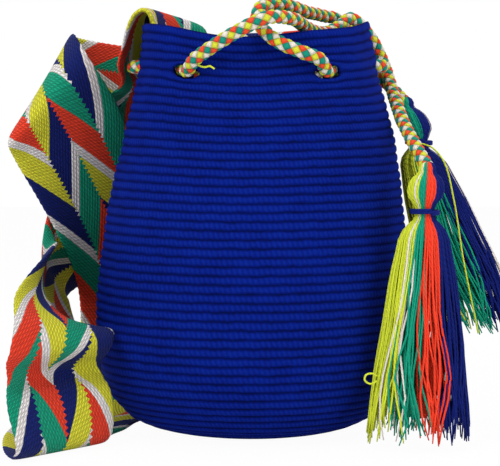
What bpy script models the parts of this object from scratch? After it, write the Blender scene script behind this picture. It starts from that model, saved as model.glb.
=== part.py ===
"""A crocheted wayuu mochila bag: a round-based shoulder bag with a drawstring neck, two yarn
tassels and a wide woven strap that has slumped beside it.

The bag stands on the XY plane with the centre of its base at the origin, +Z up, its front to -Y.
Lengths are in metres; the hand-chosen lists of places are in millimetres.
"""
import math

import bmesh
import bpy
import numpy as np

MM = 0.001
SEAT_GAP = 0.3 * MM

# Bag body: height of the mean rim, crochet wall, row ridges and the gathered neck.
BODY_HEIGHT = 278.5 * MM
BODY_WALL = 3.0 * MM
BODY_STEPS = 32
RIDGE_PITCH = 11.6 * MM
RIDGE_HEIGHT = 1.3 * MM
RIDGES_START = 12.0 * MM
RIM_SIDE_RISE = 5.5 * MM
RIM_BACK_RISE = 2.0 * MM
RIM_WAVE = 1.0 * MM
RIM_WAVE_COUNT = 5
RIM_ROUND = 2.0 * MM
BELLY_DEPTH_RATIO = 0.92
MOUTH_DEPTH_RATIO = 0.84
# The neck starts at this share of the height. It is gathered in soft waves and dented in front.
NECK_START = 0.72
NECK_GATHER = 1.2 * MM
GATHER_COUNT = 7
GATHER_TURN = 0.6
FRONT_DENT = 6.0 * MM
DENT_HALF_ANGLE = 0.30
INNER_STEP = 34.0 * MM
INNER_CORNER = 4.0 * MM

# Half-width of the body at chosen heights, and how far its middle leans to +X, in millimetres.
BODY_OUTLINE = (
    (0.0, 40.0), (1.5, 53.0), (4.5, 67.0), (9.5, 79.5), (20.0, 91.0), (45.0, 102.5),
    (90.0, 106.0), (130.0, 104.5), (164.0, 100.7), (205.0, 92.6), (245.0, 82.7), (290.0, 76.0),
)
BODY_LEAN = (
    (0.0, 0.0), (45.0, -3.0), (90.0, -1.4), (164.0, 3.1), (205.0, 4.6), (245.0, 3.8), (290.0, 1.2),
)

# Eyelets for the drawstring, spaced round the neck from the front left one.
EYELET_COUNT = 6
EYELET_FIRST_ANGLE = -125.7
EYELET_SPACING = -57.94
EYELET_BELOW_RIM = 27.5 * MM
EYELET_HEIGHT = BODY_HEIGHT - EYELET_BELOW_RIM
EYELET_WIDTH = 21.0 * MM
EYELET_RISE = 15.0 * MM
CUTTER_DEPTH = 26.0 * MM
CUTTER_SIDES = 10

# Spacing of the points that a smooth curve is first read at, and samples between chosen places.
FINE_STEP = 1.0 * MM
SPAN_SAMPLES = 25

# Drawstring: a round four-colour braid. It runs in and out through the eyelets, and both of its
# ends cross in front of the mouth and hang over the rim on the right.
CORD_DIAMETER = 9.0 * MM
CORD_STRAIGHT_STEP = 30.0 * MM
CORD_BEND_ANGLE = 36.0
CORD_CLEARANCE = 1.0 * MM
CORD_DROP = 1.0 * MM
CROSSING_ANGLE = 7.0
SPAN_SHARE = 0.38
LEFT_RUN = (
    (114.5, -70.5, 184.8), (111.8, -62.5, 191), (107.5, -48, 201), (103, -26, 214), (100, 4, 230),
    (98, 29, 245), (94.5, 38.5, 258), (84.5, 37, 277), (71, 31, 289), (62, 21, 283),
    (52, 7, 277.5), (43, -12, 277), (35, -34, 279), (26, -60, 282), (9, -80, 281),
    (-10, -81, 272), (-27, -75.5, 262), (-38, -68, 254.5),
)
RIGHT_RUN = (
    (44, -68.5, 255), (32, -75, 259.5), (19, -74, 265), (9, -67.5, 272.5), (3.5, -61.5, 281),
    (5, -54, 289), (12, -44, 293), (21, -32, 294), (30, -17, 292.5), (38, -1, 291),
    (45, 15, 291), (52, 29, 290.5), (61, 42, 289.5), (71, 50, 281), (81, 52, 267),
    (89, 50, 254), (97, 42, 243.5), (103.5, 31, 236), (107.5, 22.5, 230.6),
)

# Strap: one woven band, sewn inside the mouth at both of its ends.
STRAP_WIDTH = 83.0 * MM
STRAP_THICKNESS = 3.4 * MM
STRAP_COLUMNS = 8
STRAP_STRAIGHT_STEP = 21.0 * MM
STRAP_BEND_ANGLE = 36.0
STRAP_CLEARANCE = 2.1 * MM
# Where each end goes over the rim: how far out from the middle of the wall, and the height.
BACK_END_ANGLE = 78.0
BACK_END_PATH = (
    (-2.0, 279.5), (1.0, 282.3), (4.6, 280.4), (7.0, 274), (11.5, 266), (16.0, 257), (19.0, 246),
)
LEFT_END_ANGLE = 152.5
LEFT_END_PATH = (
    (17.0, 252), (15.0, 264), (12.5, 276), (8.5, 284.5), (3.5, 287.3), (-0.8, 285.6),
)
SEWN_HEIGHTS = (261, 268, 275)
# The free part of the strap: the middle between its edges and the direction across it. Where it
# is pinched, then the share of its width that it still spans and how far its middle bulges out.
STRAP_STATIONS = (
    ((2.0, 103.0, 229), (0.86, 0.0, 0.50)),
    ((-14.0, 113.0, 222), (0.45, 0.0, 0.89)),
    ((-45.0, 118.0, 226), (0.10, 0.0, 1.0)),
    ((-84.0, 114.0, 231), (0.05, 0.05, 1.0)),
    ((-117.0, 97.0, 235), (0.12, 0.1, 0.99)),
    ((-138.0, 72.0, 238), (0.24, 0.1, 0.96)),
    ((-147.0, 42.0, 241), (0.42, 0.05, 0.90)),
    ((-147.0, 20.0, 241), (0.54, 0.05, 0.84)),
    ((-143.0, 7.0, 231), (0.66, 0.08, 0.74)),
    ((-132.5, 20.0, 210), (0.83, 0.20, 0.52)),
    ((-119.0, 38.0, 180), (0.82, 0.36, 0.44)),
    ((-106.0, 56.0, 149), (0.82, 0.43, 0.39)),
    ((-95.5, 73.5, 116), (0.81, 0.45, 0.38)),
    ((-89.0, 82.0, 67), (0.94, 0.31, 0.17)),
    ((-96.0, 84.0, 26), (0.97, 0.22, 0.10)),
    ((-102.0, 81.0, 8), (0.98, 0.0, 0.02)),
    ((-109.0, 66.0, 2.8), (0.98, -0.18, 0.0)),
    ((-124.0, 12.0, 2.4), (1.0, -0.05, 0.0)),
    ((-128.0, -26.0, 2.4), (0.97, 0.25, 0.0)),
    ((-129.0, -54.0, 2.4), (0.84, 0.54, 0.0)),
    ((-127.5, -80.0, 2.4), (0.70, 0.71, 0.0)),
    ((-123.5, -93.0, 3.2), (0.65, 0.76, 0.0)),
    ((-120.0, -98.5, 9), (0.66, 0.75, 0.0)),
    ((-120.5, -97.5, 20), (0.70, 0.71, 0.0)),
    ((-122.5, -95.5, 31), (0.73, 0.68, 0.0)),
    ((-124.5, -93.5, 40), (0.71, 0.70, 0.0), 1.0, (-2, 2, 0)),
    ((-126.5, -91.0, 45.5), (0.67, 0.74, 0.0), 0.99, (-5, 5, 0)),
    ((-127.0, -90.5, 51.5), (0.65, 0.76, 0.0), 0.98, (-7, 7, 0)),
    ((-126.5, -91.0, 57.5), (0.67, 0.74, 0.0), 0.99, (-5, 5, 0)),
    ((-124.5, -93.5, 62.5), (0.71, 0.70, 0.0), 1.0, (-2, 2, 0)),
    ((-121.5, -96.0, 70), (0.72, 0.69, 0.0)),
    ((-121.5, -86.0, 81), (0.66, 0.69, -0.12)),
    ((-130.5, -56.0, 86), (0.52, 0.62, -0.40), 0.95, (-3, -5, 3)),
    ((-130.0, 4.0, 99), (0.20, 0.35, -0.92), 0.80, (-16, -14, 0)),
    ((-138.5, 49.0, 107), (0.22, 0.0, -0.97), 0.58, (-11, -17, 1)),
    ((-142.0, 62.0, 118), (0.24, 0.10, -0.96), 0.71, (-7, -8, 0)),
    ((-122.0, 80.0, 136), (0.60, 0.55, -0.58), 0.90, (0, 6, 0)),
    ((-106.0, 84.0, 162), (0.82, 0.53, -0.20)),
    ((-99.0, 79.0, 190), (0.87, 0.50, 0.0)),
    ((-81.5, 66.0, 226), (0.82, 0.57, 0.0)),
    ((-67.5, 55.0, 240), (0.70, 0.71, 0.0), 0.93, (-9, 6, 0)),
)

# Chevron weave of the strap: lengthwise zones whose bands slant to either side in turn, and the
# quarters of a repeat that each zone is ahead by.
ZONE_COUNT = 4
ZONE_QUARTERS = (2, 3, 1, 0)
BAND_SLOPE = 2.14
BAND_PHASE = 13.5 * MM
BANDS = (
    (13.5 * MM, "strap_white"), (38.0 * MM, "strap_green"), (38.0 * MM, "strap_red"),
    (13.5 * MM, "strap_white"), (38.0 * MM, "strap_lime"), (38.0 * MM, "strap_navy"),
)

# Tassels: a bulb of yarn, a bound neck and a skirt, split side by side into four colours.
TASSEL_PARTS = ("yellow", "green", "orange", "blue")
TASSEL_ARC_POINTS = 5
TASSEL_FLUTE = 0.7 * MM
TASSEL_EDGE = 0.02
TIE_HEIGHT = 6.0 * MM
TIE_THICKNESS = 2.2 * MM
TIE_ROUND = 0.4
TIE_STEPS = 14
# The bound neck: its radius, its middle's distance down from the top and half its length, in
# millimetres.
NECK_RADIUS = 8.0
NECK_PLACE = 25.5
NECK_HALF = 5.0
# Distance down a tassel from its top, its half-width and its half-depth there, in millimetres.
TASSEL_OUTLINE = (
    (0, 5.0, 5.0), (3, 9.5, 9.0), (9, 12.4, 11.0), (16, 11.5, 10.0),
    (NECK_PLACE - NECK_HALF, NECK_RADIUS, NECK_RADIUS),
    (NECK_PLACE + NECK_HALF, NECK_RADIUS, NECK_RADIUS),
    (36, 13.5, 11.0), (56, 20.0, 13.5), (96, 26.5, 15.5), (136, 32.5, 17.0), (172, 36.0, 18.0),
)
# Each tassel: the middle of its top, of its bound neck and of its skirt's end.
FRONT_TASSEL = ((114.5, -71.0, 181.0), (113.0, -72.0, 155.5), (109.5, -77.0, 8.0))
REAR_TASSEL = ((109.0, 20.0, 226.0), (118.5, 22.0, 201.0), (163.0, 28.0, 68.0))

# Colours: name, red, green, blue (linear), roughness.
COLOURS = {
    "bag_blue": ((0.003, 0.014, 0.262), 0.9),
    "cord_white": ((0.80, 0.76, 0.66), 0.85),
    "strap_white": ((0.80, 0.74, 0.71), 0.9),
    "strap_green": ((0.005, 0.279, 0.162), 0.9),
    "strap_red": ((0.913, 0.060, 0.024), 0.9),
    "strap_lime": ((0.723, 0.694, 0.045), 0.9),
    "strap_navy": ((0.003, 0.011, 0.147), 0.9),
    "yarn_yellow": ((0.631, 0.694, 0.030), 0.85),
    "yarn_green": ((0.005, 0.279, 0.162), 0.85),
    "yarn_orange": ((0.913, 0.060, 0.024), 0.85),
    "yarn_blue": ((0.003, 0.011, 0.147), 0.85),
}


def clear_scene():
    """Remove every object that a new Blender file starts with."""
    for old in list(bpy.data.objects):
        bpy.data.objects.remove(old)


def make_collection(name):
    """Add a collection to the scene."""
    collection = bpy.data.collections.new(name)
    bpy.context.scene.collection.children.link(collection)
    return collection


def make_material(name):
    """Make the Principled material of one of the named colours."""
    colour, roughness = COLOURS[name]
    material = bpy.data.materials.new(name)
    material.use_nodes = True
    shader = material.node_tree.nodes["Principled BSDF"]
    shader.inputs["Base Color"].default_value = (*colour, 1.0)
    shader.inputs["Roughness"].default_value = roughness
    shader.inputs["Metallic"].default_value = 0.0
    material.diffuse_color = (*colour, 1.0)
    return material


def add_object(name, data, collection, materials):
    """Link an object with its materials to a collection."""
    made = bpy.data.objects.new(name, data)
    for material in materials:
        data.materials.append(material)
    collection.objects.link(made)
    return made


def evaluated_mesh(made):
    """Return an object's mesh with its modifiers applied."""
    bpy.context.view_layer.update()
    graph = bpy.context.evaluated_depsgraph_get()
    return bpy.data.meshes.new_from_object(made.evaluated_get(graph))


def mesh_from(name, points, faces):
    """Make a mesh from an array of points and a list of faces, all facing out."""
    mesh = bpy.data.meshes.new(name)
    mesh.from_pydata([tuple(point) for point in points], [], faces)
    shell = bmesh.new()
    shell.from_mesh(mesh)
    bmesh.ops.recalc_face_normals(shell, faces=shell.faces)
    shell.to_mesh(mesh)
    shell.free()
    return mesh


def read_curve(table, place):
    """Read a smooth curve through (place, value) rows, both in millimetres, in metres."""
    keys = np.array([row[0] for row in table]) * MM
    values = np.array([row[1] for row in table]) * MM
    slopes = np.gradient(values, keys)
    place = np.clip(np.asarray(place, dtype=float), keys[0], keys[-1])
    left = np.clip(np.searchsorted(keys, place, side="right") - 1, 0, len(keys) - 2)
    span = keys[left + 1] - keys[left]
    share = (place - keys[left]) / span
    start = (2 * share**3 - 3 * share**2 + 1) * values[left]
    start = start + (share**3 - 2 * share**2 + share) * span * slopes[left]
    end = (3 * share**2 - 2 * share**3) * values[left + 1]
    end = end + (share**3 - share**2) * span * slopes[left + 1]
    return start + end


def depth_ratio(height):
    """Share of the body's half-width that its half-depth has at a height."""
    share = np.clip(height / BODY_HEIGHT, 0.0, 1.0)
    return BELLY_DEPTH_RATIO + (MOUTH_DEPTH_RATIO - BELLY_DEPTH_RATIO) * share**2


def shape_body(radius, angle, height):
    """Carry a point of the plain turned body to its place on the slumped bag.

    The section becomes an ellipse that leans with height; the rim is higher at the sides than
    at the front and back; the neck is gathered in soft waves and dented at the front.
    """
    share = np.clip(height / BODY_HEIGHT, 0.0, 1.1)
    neck = np.clip((share - NECK_START) / (1.0 - NECK_START), 0.0, 1.1)
    aside = np.mod(angle + math.pi, math.tau) - 0.5 * math.pi
    dent = FRONT_DENT * np.exp(-((aside / DENT_HALF_ANGLE) ** 2))
    gather = NECK_GATHER * np.sin(GATHER_COUNT * angle + GATHER_TURN)
    pulled = radius + (gather - dent) * neck
    rim = RIM_SIDE_RISE * np.cos(2 * angle) + RIM_BACK_RISE * np.sin(angle)
    rim = rim + RIM_WAVE * np.sin(RIM_WAVE_COUNT * angle + 1.0)
    x = read_curve(BODY_LEAN, height) + pulled * np.cos(angle)
    y = pulled * depth_ratio(height) * np.sin(angle)
    z = height + rim * share**3
    return np.stack([x, y, z], axis=-1)


def ridge_profile():
    """Outer outline of the body, from the rim down to the resting face, with its row ridges."""
    rows = int((BODY_HEIGHT - RIDGES_START) / RIDGE_PITCH)
    heights = BODY_HEIGHT - RIDGE_PITCH * np.arange(0.25, rows, 0.5)
    crest = np.where(np.arange(len(heights)) % 2 == 0, RIDGE_HEIGHT, 0.0)
    outer = read_curve(BODY_OUTLINE, heights) + crest
    lower = np.array([row[0] for row in BODY_OUTLINE if row[0] * MM < RIDGES_START][::-1]) * MM
    heights = np.concatenate([heights, lower])
    outer = np.concatenate([outer, read_curve(BODY_OUTLINE, lower)])
    return list(zip(outer, heights))


def body_profile():
    """Closed half outline of the plain turned body: up the inside, over the rim, down outside."""
    floor = BODY_WALL
    levels = np.linspace(floor, BODY_HEIGHT - RIM_ROUND, int(BODY_HEIGHT / INNER_STEP) + 1)
    inner = [(float(read_curve(BODY_OUTLINE, z)) - BODY_WALL, z) for z in levels[1:]]
    corner = (float(read_curve(BODY_OUTLINE, INNER_CORNER)) - 2 * BODY_WALL, floor)
    mouth = float(read_curve(BODY_OUTLINE, BODY_HEIGHT))
    rim = [(mouth - 0.5 * BODY_WALL, BODY_HEIGHT)]
    return [(0.0, floor), corner] + inner + rim + ridge_profile() + [(0.0, 0.0)]


def turned_body():
    """Turn the body's outline round the Z axis with a Screw modifier."""
    outline = body_profile()
    mesh = bpy.data.meshes.new("body_outline")
    edges = [(k, k + 1) for k in range(len(outline) - 1)]
    mesh.from_pydata([(r, 0.0, z) for r, z in outline], edges, [])
    guide = bpy.data.objects.new("body_outline", mesh)
    bpy.context.scene.collection.objects.link(guide)
    screw = guide.modifiers.new("turn", "SCREW")
    screw.steps = BODY_STEPS
    screw.render_steps = BODY_STEPS
    screw.use_merge_vertices = True
    screw.merge_threshold = 0.00001
    turned = evaluated_mesh(guide)
    bpy.data.objects.remove(guide)
    return turned


def wall_place(angle, height, outward):
    """Place at an angle and height of the neck, moved outward from the middle of the wall."""
    radius = float(read_curve(BODY_OUTLINE, height)) - 0.5 * BODY_WALL
    ratio = float(depth_ratio(height))
    place = shape_body(np.array(radius), np.array(angle), np.array(height))
    away = np.array([math.cos(angle), math.sin(angle) / ratio, 0.0])
    away = away / np.linalg.norm(away)
    return place + outward * away, away


def add_eyelet_cutter(collection):
    """One mesh of oval plugs, one across the wall at each eyelet."""
    plugs = bmesh.new()
    for number in range(EYELET_COUNT):
        angle = math.radians(EYELET_FIRST_ANGLE + number * EYELET_SPACING)
        centre, away = wall_place(angle, EYELET_HEIGHT, 0.0)
        side = np.cross((0.0, 0.0, 1.0), away)
        made = bmesh.ops.create_cone(
            plugs, cap_ends=True, segments=CUTTER_SIDES, radius1=0.5, radius2=0.5, depth=1.0)
        for vert in made["verts"]:
            local = vert.co.copy()
            spot = centre + side * local.x * EYELET_WIDTH + away * local.z * CUTTER_DEPTH
            spot[2] += local.y * EYELET_RISE
            vert.co = spot
    bmesh.ops.recalc_face_normals(plugs, faces=plugs.faces)
    mesh = bpy.data.meshes.new("eyelet_cutter")
    plugs.to_mesh(mesh)
    plugs.free()
    cutter = add_object("eyelet_cutter", mesh, collection, [])
    cutter.hide_render = True
    cutter.display_type = "WIRE"
    return cutter


def add_bag_body(parts, cutters):
    """The crocheted body: one pot-shaped piece with its row ridges and the drawstring eyelets."""
    mesh = turned_body()
    flat = np.empty(len(mesh.vertices) * 3)
    mesh.vertices.foreach_get("co", flat)
    points = flat.reshape(-1, 3)
    radius = np.hypot(points[:, 0], points[:, 1])
    angle = np.arctan2(points[:, 1], points[:, 0])
    shaped = shape_body(radius, angle, points[:, 2])
    shaped[radius < 0.01 * MM, 0:2] = 0.0
    mesh.vertices.foreach_set("co", shaped.ravel())
    mesh.update()
    body = add_object("bag_body", mesh, parts, [make_material("bag_blue")])
    cut = body.modifiers.new("eyelets", "BOOLEAN")
    cut.operation = "DIFFERENCE"
    cut.solver = "EXACT"
    cut.object = add_eyelet_cutter(cutters)
    mesh.shade_smooth()
    mesh.set_sharp_from_angle(angle=math.radians(35))
    return body


def spline_through(points, step):
    """Points a fixed step apart along a centripetal Catmull-Rom curve through given points."""
    points = np.asarray(points, dtype=float)
    first = 2 * points[0] - points[1]
    last = 2 * points[-1] - points[-2]
    padded = np.vstack([first, points, last])
    gaps = np.sqrt(np.linalg.norm(np.diff(padded[:, :3], axis=0), axis=1))
    knots = np.concatenate([[0.0], np.cumsum(gaps)])
    dense = []
    for k in range(1, len(padded) - 2):
        t0, t1, t2, t3 = knots[k - 1:k + 3]
        t = np.linspace(t1, t2, SPAN_SAMPLES)[:, None]
        a1 = (t1 - t) / (t1 - t0) * padded[k - 1] + (t - t0) / (t1 - t0) * padded[k]
        a2 = (t2 - t) / (t2 - t1) * padded[k] + (t - t1) / (t2 - t1) * padded[k + 1]
        a3 = (t3 - t) / (t3 - t2) * padded[k + 1] + (t - t2) / (t3 - t2) * padded[k + 2]
        b1 = (t2 - t) / (t2 - t0) * a1 + (t - t0) / (t2 - t0) * a2
        b2 = (t3 - t) / (t3 - t1) * a2 + (t - t1) / (t3 - t1) * a3
        piece = (t2 - t) / (t2 - t1) * b1 + (t - t1) / (t2 - t1) * b2
        dense.append(piece[:-1])
    dense = np.vstack(dense + [points[-1:]])
    lengths = np.linalg.norm(np.diff(dense[:, :3], axis=0), axis=1)
    travelled = np.concatenate([[0.0], np.cumsum(lengths)])
    count = max(2, int(round(travelled[-1] / step)) + 1)
    places = np.linspace(0.0, travelled[-1], count)
    return np.stack([np.interp(places, travelled, column) for column in dense.T], axis=1)


def bend_rows(points, straight_step, bend_angle):
    """Choose points of a finely read curve: close together in bends, far apart on straight runs."""
    steps = np.diff(points, axis=0)
    length = np.linalg.norm(steps, axis=1)
    along = steps / length[:, None]
    cosine = np.clip(np.sum(along[1:] * along[:-1], axis=1), -1.0, 1.0)
    turn = np.concatenate([[0.0], np.degrees(np.arccos(cosine))])
    total = np.concatenate([[0.0], np.cumsum(length / straight_step + turn / bend_angle)])
    wanted = np.linspace(0.0, total[-1], int(math.ceil(total[-1])) + 1)
    return np.unique(np.round(np.interp(wanted, total, np.arange(len(points)))).astype(int))


def threaded_places():
    """Places of the drawstring through the eyelets: in at the front left, on round the back."""
    aside = 0.5 * (BODY_WALL + CORD_DIAMETER) + CORD_CLEARANCE
    height = EYELET_HEIGHT - CORD_DROP
    places = []
    for number in range(EYELET_COUNT):
        hole = EYELET_FIRST_ANGLE + number * EYELET_SPACING
        before = -1 if number % 2 else 1
        for turn, share in ((CROSSING_ANGLE, before), (0.0, 0), (-CROSSING_ANGLE, -before)):
            if 0 < number or share <= 0:
                places.append((hole + turn, share))
        if number < EYELET_COUNT - 1:
            places.append((hole + SPAN_SHARE * EYELET_SPACING, -before))
            places.append((hole + (1.0 - SPAN_SHARE) * EYELET_SPACING, -before))
    del places[-1]
    out = []
    for angle, share in places:
        offset = share * aside + max(share, 0) * RIDGE_HEIGHT
        out.append(wall_place(math.radians(angle), height, offset)[0])
    return out


def add_drawstring(parts):
    """The braided drawstring, as a round tube along its whole route."""
    places = [np.array(place) * MM for place in LEFT_RUN]
    places += threaded_places()
    places += [np.array(place) * MM for place in RIGHT_RUN]
    fine = spline_through(places, FINE_STEP)
    route = fine[bend_rows(fine, CORD_STRAIGHT_STEP, CORD_BEND_ANGLE)]
    curve = bpy.data.curves.new("drawstring", "CURVE")
    curve.dimensions = "3D"
    curve.bevel_depth = 0.5 * CORD_DIAMETER
    curve.bevel_resolution = 2
    curve.use_fill_caps = True
    line = curve.splines.new("POLY")
    line.points.add(len(route) - 1)
    for point, place in zip(line.points, route):
        point.co = (*place, 1.0)
    return add_object("drawstring", curve, parts, [make_material("cord_white")])


def strap_on_wall(angle, height, outward):
    """Left edge, middle and right edge of the strap where it follows the wall of the neck."""
    radius = float(read_curve(BODY_OUTLINE, height)) * math.sqrt(depth_ratio(height)) + outward
    half = math.degrees(0.5 * STRAP_WIDTH / radius)
    angles = [math.radians(angle + turn) for turn in (half, 0.0, -half)]
    return [wall_place(turned, height, outward)[0] for turned in angles]


def strap_sections():
    """Left edge, middle and right edge of the strap at each chosen section along it."""
    sewn = -0.5 * (BODY_WALL + STRAP_THICKNESS) - STRAP_CLEARANCE
    back = [(sewn, height) for height in SEWN_HEIGHTS] + list(BACK_END_PATH)
    sections = []
    for place, height in back:
        outward = place if place == sewn else place * MM
        sections.append(strap_on_wall(BACK_END_ANGLE, height * MM, outward))
    for place, across, *pinch in STRAP_STATIONS:
        spread, bulge = pinch or (1.0, (0.0, 0.0, 0.0))
        middle = np.array(place) * MM
        half = 0.5 * spread * STRAP_WIDTH * np.array(across) / np.linalg.norm(across)
        sections.append([middle - half, middle + np.array(bulge) * MM, middle + half])
    left = list(LEFT_END_PATH) + [(sewn, height) for height in SEWN_HEIGHTS[::-1]]
    for place, height in left:
        outward = place if place == sewn else place * MM
        sections.append(strap_on_wall(LEFT_END_ANGLE, height * MM, outward))
    return np.array(sections)


def strap_guides():
    """Finely spaced left edge, middle and right edge of the strap."""
    sections = strap_sections()
    rows = np.concatenate([sections[:, 1], sections[:, 0], sections[:, 2]], axis=1)
    fine = spline_through(rows, FINE_STEP)
    return fine[:, 3:6], fine[:, 0:3], fine[:, 6:9]


def band_colour(along_strap, across_strap):
    """Index of the woven band at a place, from the chevron rule of the four zones."""
    zone_width = STRAP_WIDTH / ZONE_COUNT
    zone = int(min(max((across_strap + 0.5 * STRAP_WIDTH) // zone_width, 0), ZONE_COUNT - 1))
    slant = BAND_SLOPE if zone % 2 else -BAND_SLOPE
    period = sum(length for length, _ in BANDS)
    beside = across_strap + 0.5 * STRAP_WIDTH - (zone + 0.5) * zone_width
    ahead = 0.25 * period * ZONE_QUARTERS[zone]
    phase = (along_strap + slant * beside + BAND_PHASE + ahead) % period
    for index, (length, _) in enumerate(BANDS):
        if phase < length:
            return index
        phase -= length
    return len(BANDS) - 1


def add_strap(parts):
    """The woven strap: a grid along its middle line, thickened, coloured in slanting bands."""
    left, middle, right = strap_guides()
    rows = bend_rows(middle, STRAP_STRAIGHT_STEP, STRAP_BEND_ANGLE)
    places = np.linspace(-1.0, 1.0, STRAP_COLUMNS + 1)
    across = (0.5 * (right - left))[rows][:, None, :] * places[None, :, None]
    bend = (0.5 * (left + right) - middle)[rows][:, None, :] * (places**2)[None, :, None]
    points = (middle[rows][:, None, :] + across + bend).reshape(-1, 3)
    line = STRAP_COLUMNS + 1
    faces = [(k * line + c, k * line + c + 1, (k + 1) * line + c + 1, (k + 1) * line + c)
             for k in range(len(rows) - 1) for c in range(STRAP_COLUMNS)]
    mesh = bpy.data.meshes.new("strap")
    mesh.from_pydata([tuple(point) for point in points], [], faces)
    names = [name for _, name in BANDS]
    kinds = list(dict.fromkeys(names))
    strap = add_object("strap", mesh, parts, [make_material(kind) for kind in kinds])
    for number, polygon in enumerate(mesh.polygons):
        row, column = divmod(number, STRAP_COLUMNS)
        travelled = 0.5 * (rows[row] + rows[row + 1]) * FINE_STEP
        beside = 0.25 * (places[column] + places[column + 1]) * STRAP_WIDTH
        polygon.material_index = kinds.index(names[band_colour(travelled, beside)])
    shell = strap.modifiers.new("woven_thickness", "SOLIDIFY")
    shell.thickness = STRAP_THICKNESS
    shell.offset = 0.0
    mesh.shade_smooth()
    return strap


def tassel_axis(places):
    """Axis of a tassel: down from its top, straight down through its neck, on to its end."""
    top, neck, end = (np.array(place) * MM for place in places)
    length = TASSEL_OUTLINE[-1][0]
    tie_end = NECK_PLACE + NECK_HALF
    rows = []
    for depth, _, _ in TASSEL_OUTLINE:
        head = min(depth / (NECK_PLACE - NECK_HALF), 1.0)
        skirt = max((depth - tie_end) / (length - tie_end), 0.0)
        place = top + (neck - top) * head + (end - neck) * skirt
        down = min(depth / NECK_PLACE, 1.0)
        past = max((depth - NECK_PLACE) / (length - NECK_PLACE), 0.0)
        place[2] = top[2] + (neck[2] - top[2]) * down + (end[2] - neck[2]) * past
        rows.append(place)
    return np.array(rows)


def tassel_section(level, number):
    """Outline of one colour's share of a tassel at one level: a slice of the fluted oval."""
    half_width = TASSEL_OUTLINE[level][1] * MM
    half_depth = TASSEL_OUTLINE[level][2] * MM
    count = len(TASSEL_PARTS)
    left = -1.0 + 2.0 * number / count
    right = left + 2.0 / count
    gap = 0.5 * SEAT_GAP / half_width
    low = -1.0 if number == 0 else left + gap
    high = 1.0 if number == count - 1 else right - gap
    across = np.linspace(low, high, TASSEL_ARC_POINTS)
    depth = np.sqrt(np.clip(1.0 - across**2, TASSEL_EDGE, 1.0)) * half_depth
    depth = depth - TASSEL_FLUTE * (np.arange(TASSEL_ARC_POINTS) % 2)
    front = [(u * half_width, -d) for u, d in zip(across, depth)]
    back = [(u * half_width, d) for u, d in zip(across[::-1], depth[::-1])]
    return front + back


def add_tassel(parts, label, places):
    """A yarn tassel: four bunches of yarn side by side and the binding round their neck."""
    axis = tassel_axis(places)
    for number, colour in enumerate(TASSEL_PARTS):
        points = []
        for level, middle in enumerate(axis):
            for u, v in tassel_section(level, number):
                points.append(middle + np.array([u, v, 0.0]))
        ring = 2 * TASSEL_ARC_POINTS
        faces = [tuple(range(ring))]
        for start in range(0, (len(axis) - 1) * ring, ring):
            for near in range(ring):
                far = (near + 1) % ring
                faces.append((start + near, start + far, start + ring + far, start + ring + near))
        faces.append(tuple(range((len(axis) - 1) * ring, len(axis) * ring)))
        mesh = mesh_from(f"{label}_{colour}_yarn", points, faces)
        add_object(f"{label}_{colour}_yarn", mesh, parts, [make_material(f"yarn_{colour}")])
    add_tie(parts, label, np.array(places[1]) * MM)


def add_tie(parts, label, centre):
    """The binding that holds a tassel's neck: a turned ring with a rounded outer side."""
    inner = NECK_RADIUS * MM + SEAT_GAP
    outer = inner + TIE_THICKNESS
    half = 0.5 * TIE_HEIGHT
    shoulder = outer - TIE_ROUND * TIE_THICKNESS
    outline = [(inner, half), (shoulder, half), (outer, TIE_ROUND * half),
               (outer, -TIE_ROUND * half), (shoulder, -half), (inner, -half)]
    mesh = bpy.data.meshes.new(f"{label}_tie")
    edges = [(k, (k + 1) % len(outline)) for k in range(len(outline))]
    mesh.from_pydata([(r, 0.0, z) for r, z in outline], edges, [])
    tie = add_object(f"{label}_tie", mesh, parts, [make_material("yarn_blue")])
    tie.location = centre
    turn = tie.modifiers.new("turn", "SCREW")
    turn.steps = TIE_STEPS
    turn.render_steps = TIE_STEPS
    turn.use_merge_vertices = True
    turn.merge_threshold = 0.00001
    return tie


def main():
    """Build every sub-part in a cleared scene."""
    clear_scene()
    parts = make_collection("wayuu_mochila_bag")
    cutters = make_collection("cutters")
    add_bag_body(parts, cutters)
    add_drawstring(parts)
    add_strap(parts)
    add_tassel(parts, "front_tassel", FRONT_TASSEL)
    add_tassel(parts, "rear_tassel", REAR_TASSEL)


if __name__ == "__main__":
    main()
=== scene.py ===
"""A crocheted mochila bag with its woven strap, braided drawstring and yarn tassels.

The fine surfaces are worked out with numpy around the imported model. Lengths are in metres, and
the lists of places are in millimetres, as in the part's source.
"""
import math

import bpy
import numpy as np
from bpy.props import FloatProperty, FloatVectorProperty, IntProperty, PointerProperty
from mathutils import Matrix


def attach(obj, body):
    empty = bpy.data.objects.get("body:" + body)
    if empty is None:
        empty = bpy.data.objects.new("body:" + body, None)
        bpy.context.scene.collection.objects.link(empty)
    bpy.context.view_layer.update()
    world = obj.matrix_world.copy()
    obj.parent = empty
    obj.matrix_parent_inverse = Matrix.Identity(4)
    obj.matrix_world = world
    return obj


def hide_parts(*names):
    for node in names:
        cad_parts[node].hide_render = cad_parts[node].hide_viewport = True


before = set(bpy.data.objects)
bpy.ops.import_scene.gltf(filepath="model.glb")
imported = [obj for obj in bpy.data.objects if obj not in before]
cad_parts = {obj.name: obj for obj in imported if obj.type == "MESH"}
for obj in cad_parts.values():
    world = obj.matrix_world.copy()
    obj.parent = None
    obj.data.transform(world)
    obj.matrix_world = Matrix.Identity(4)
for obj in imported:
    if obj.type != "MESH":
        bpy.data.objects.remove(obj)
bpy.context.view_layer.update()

bl_info = {
    "name": "Mochila Bag",
    "version": (1, 0, 0),
    "blender": (4, 5, 0),
    "location": "3D View > Sidebar > Mochila",
    "description": "Crocheted bag with a woven chevron strap, a braided drawstring and tassels",
    "category": "Add Mesh",
}

MM = 0.001
MATH = "ShaderNodeMath"

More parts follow.
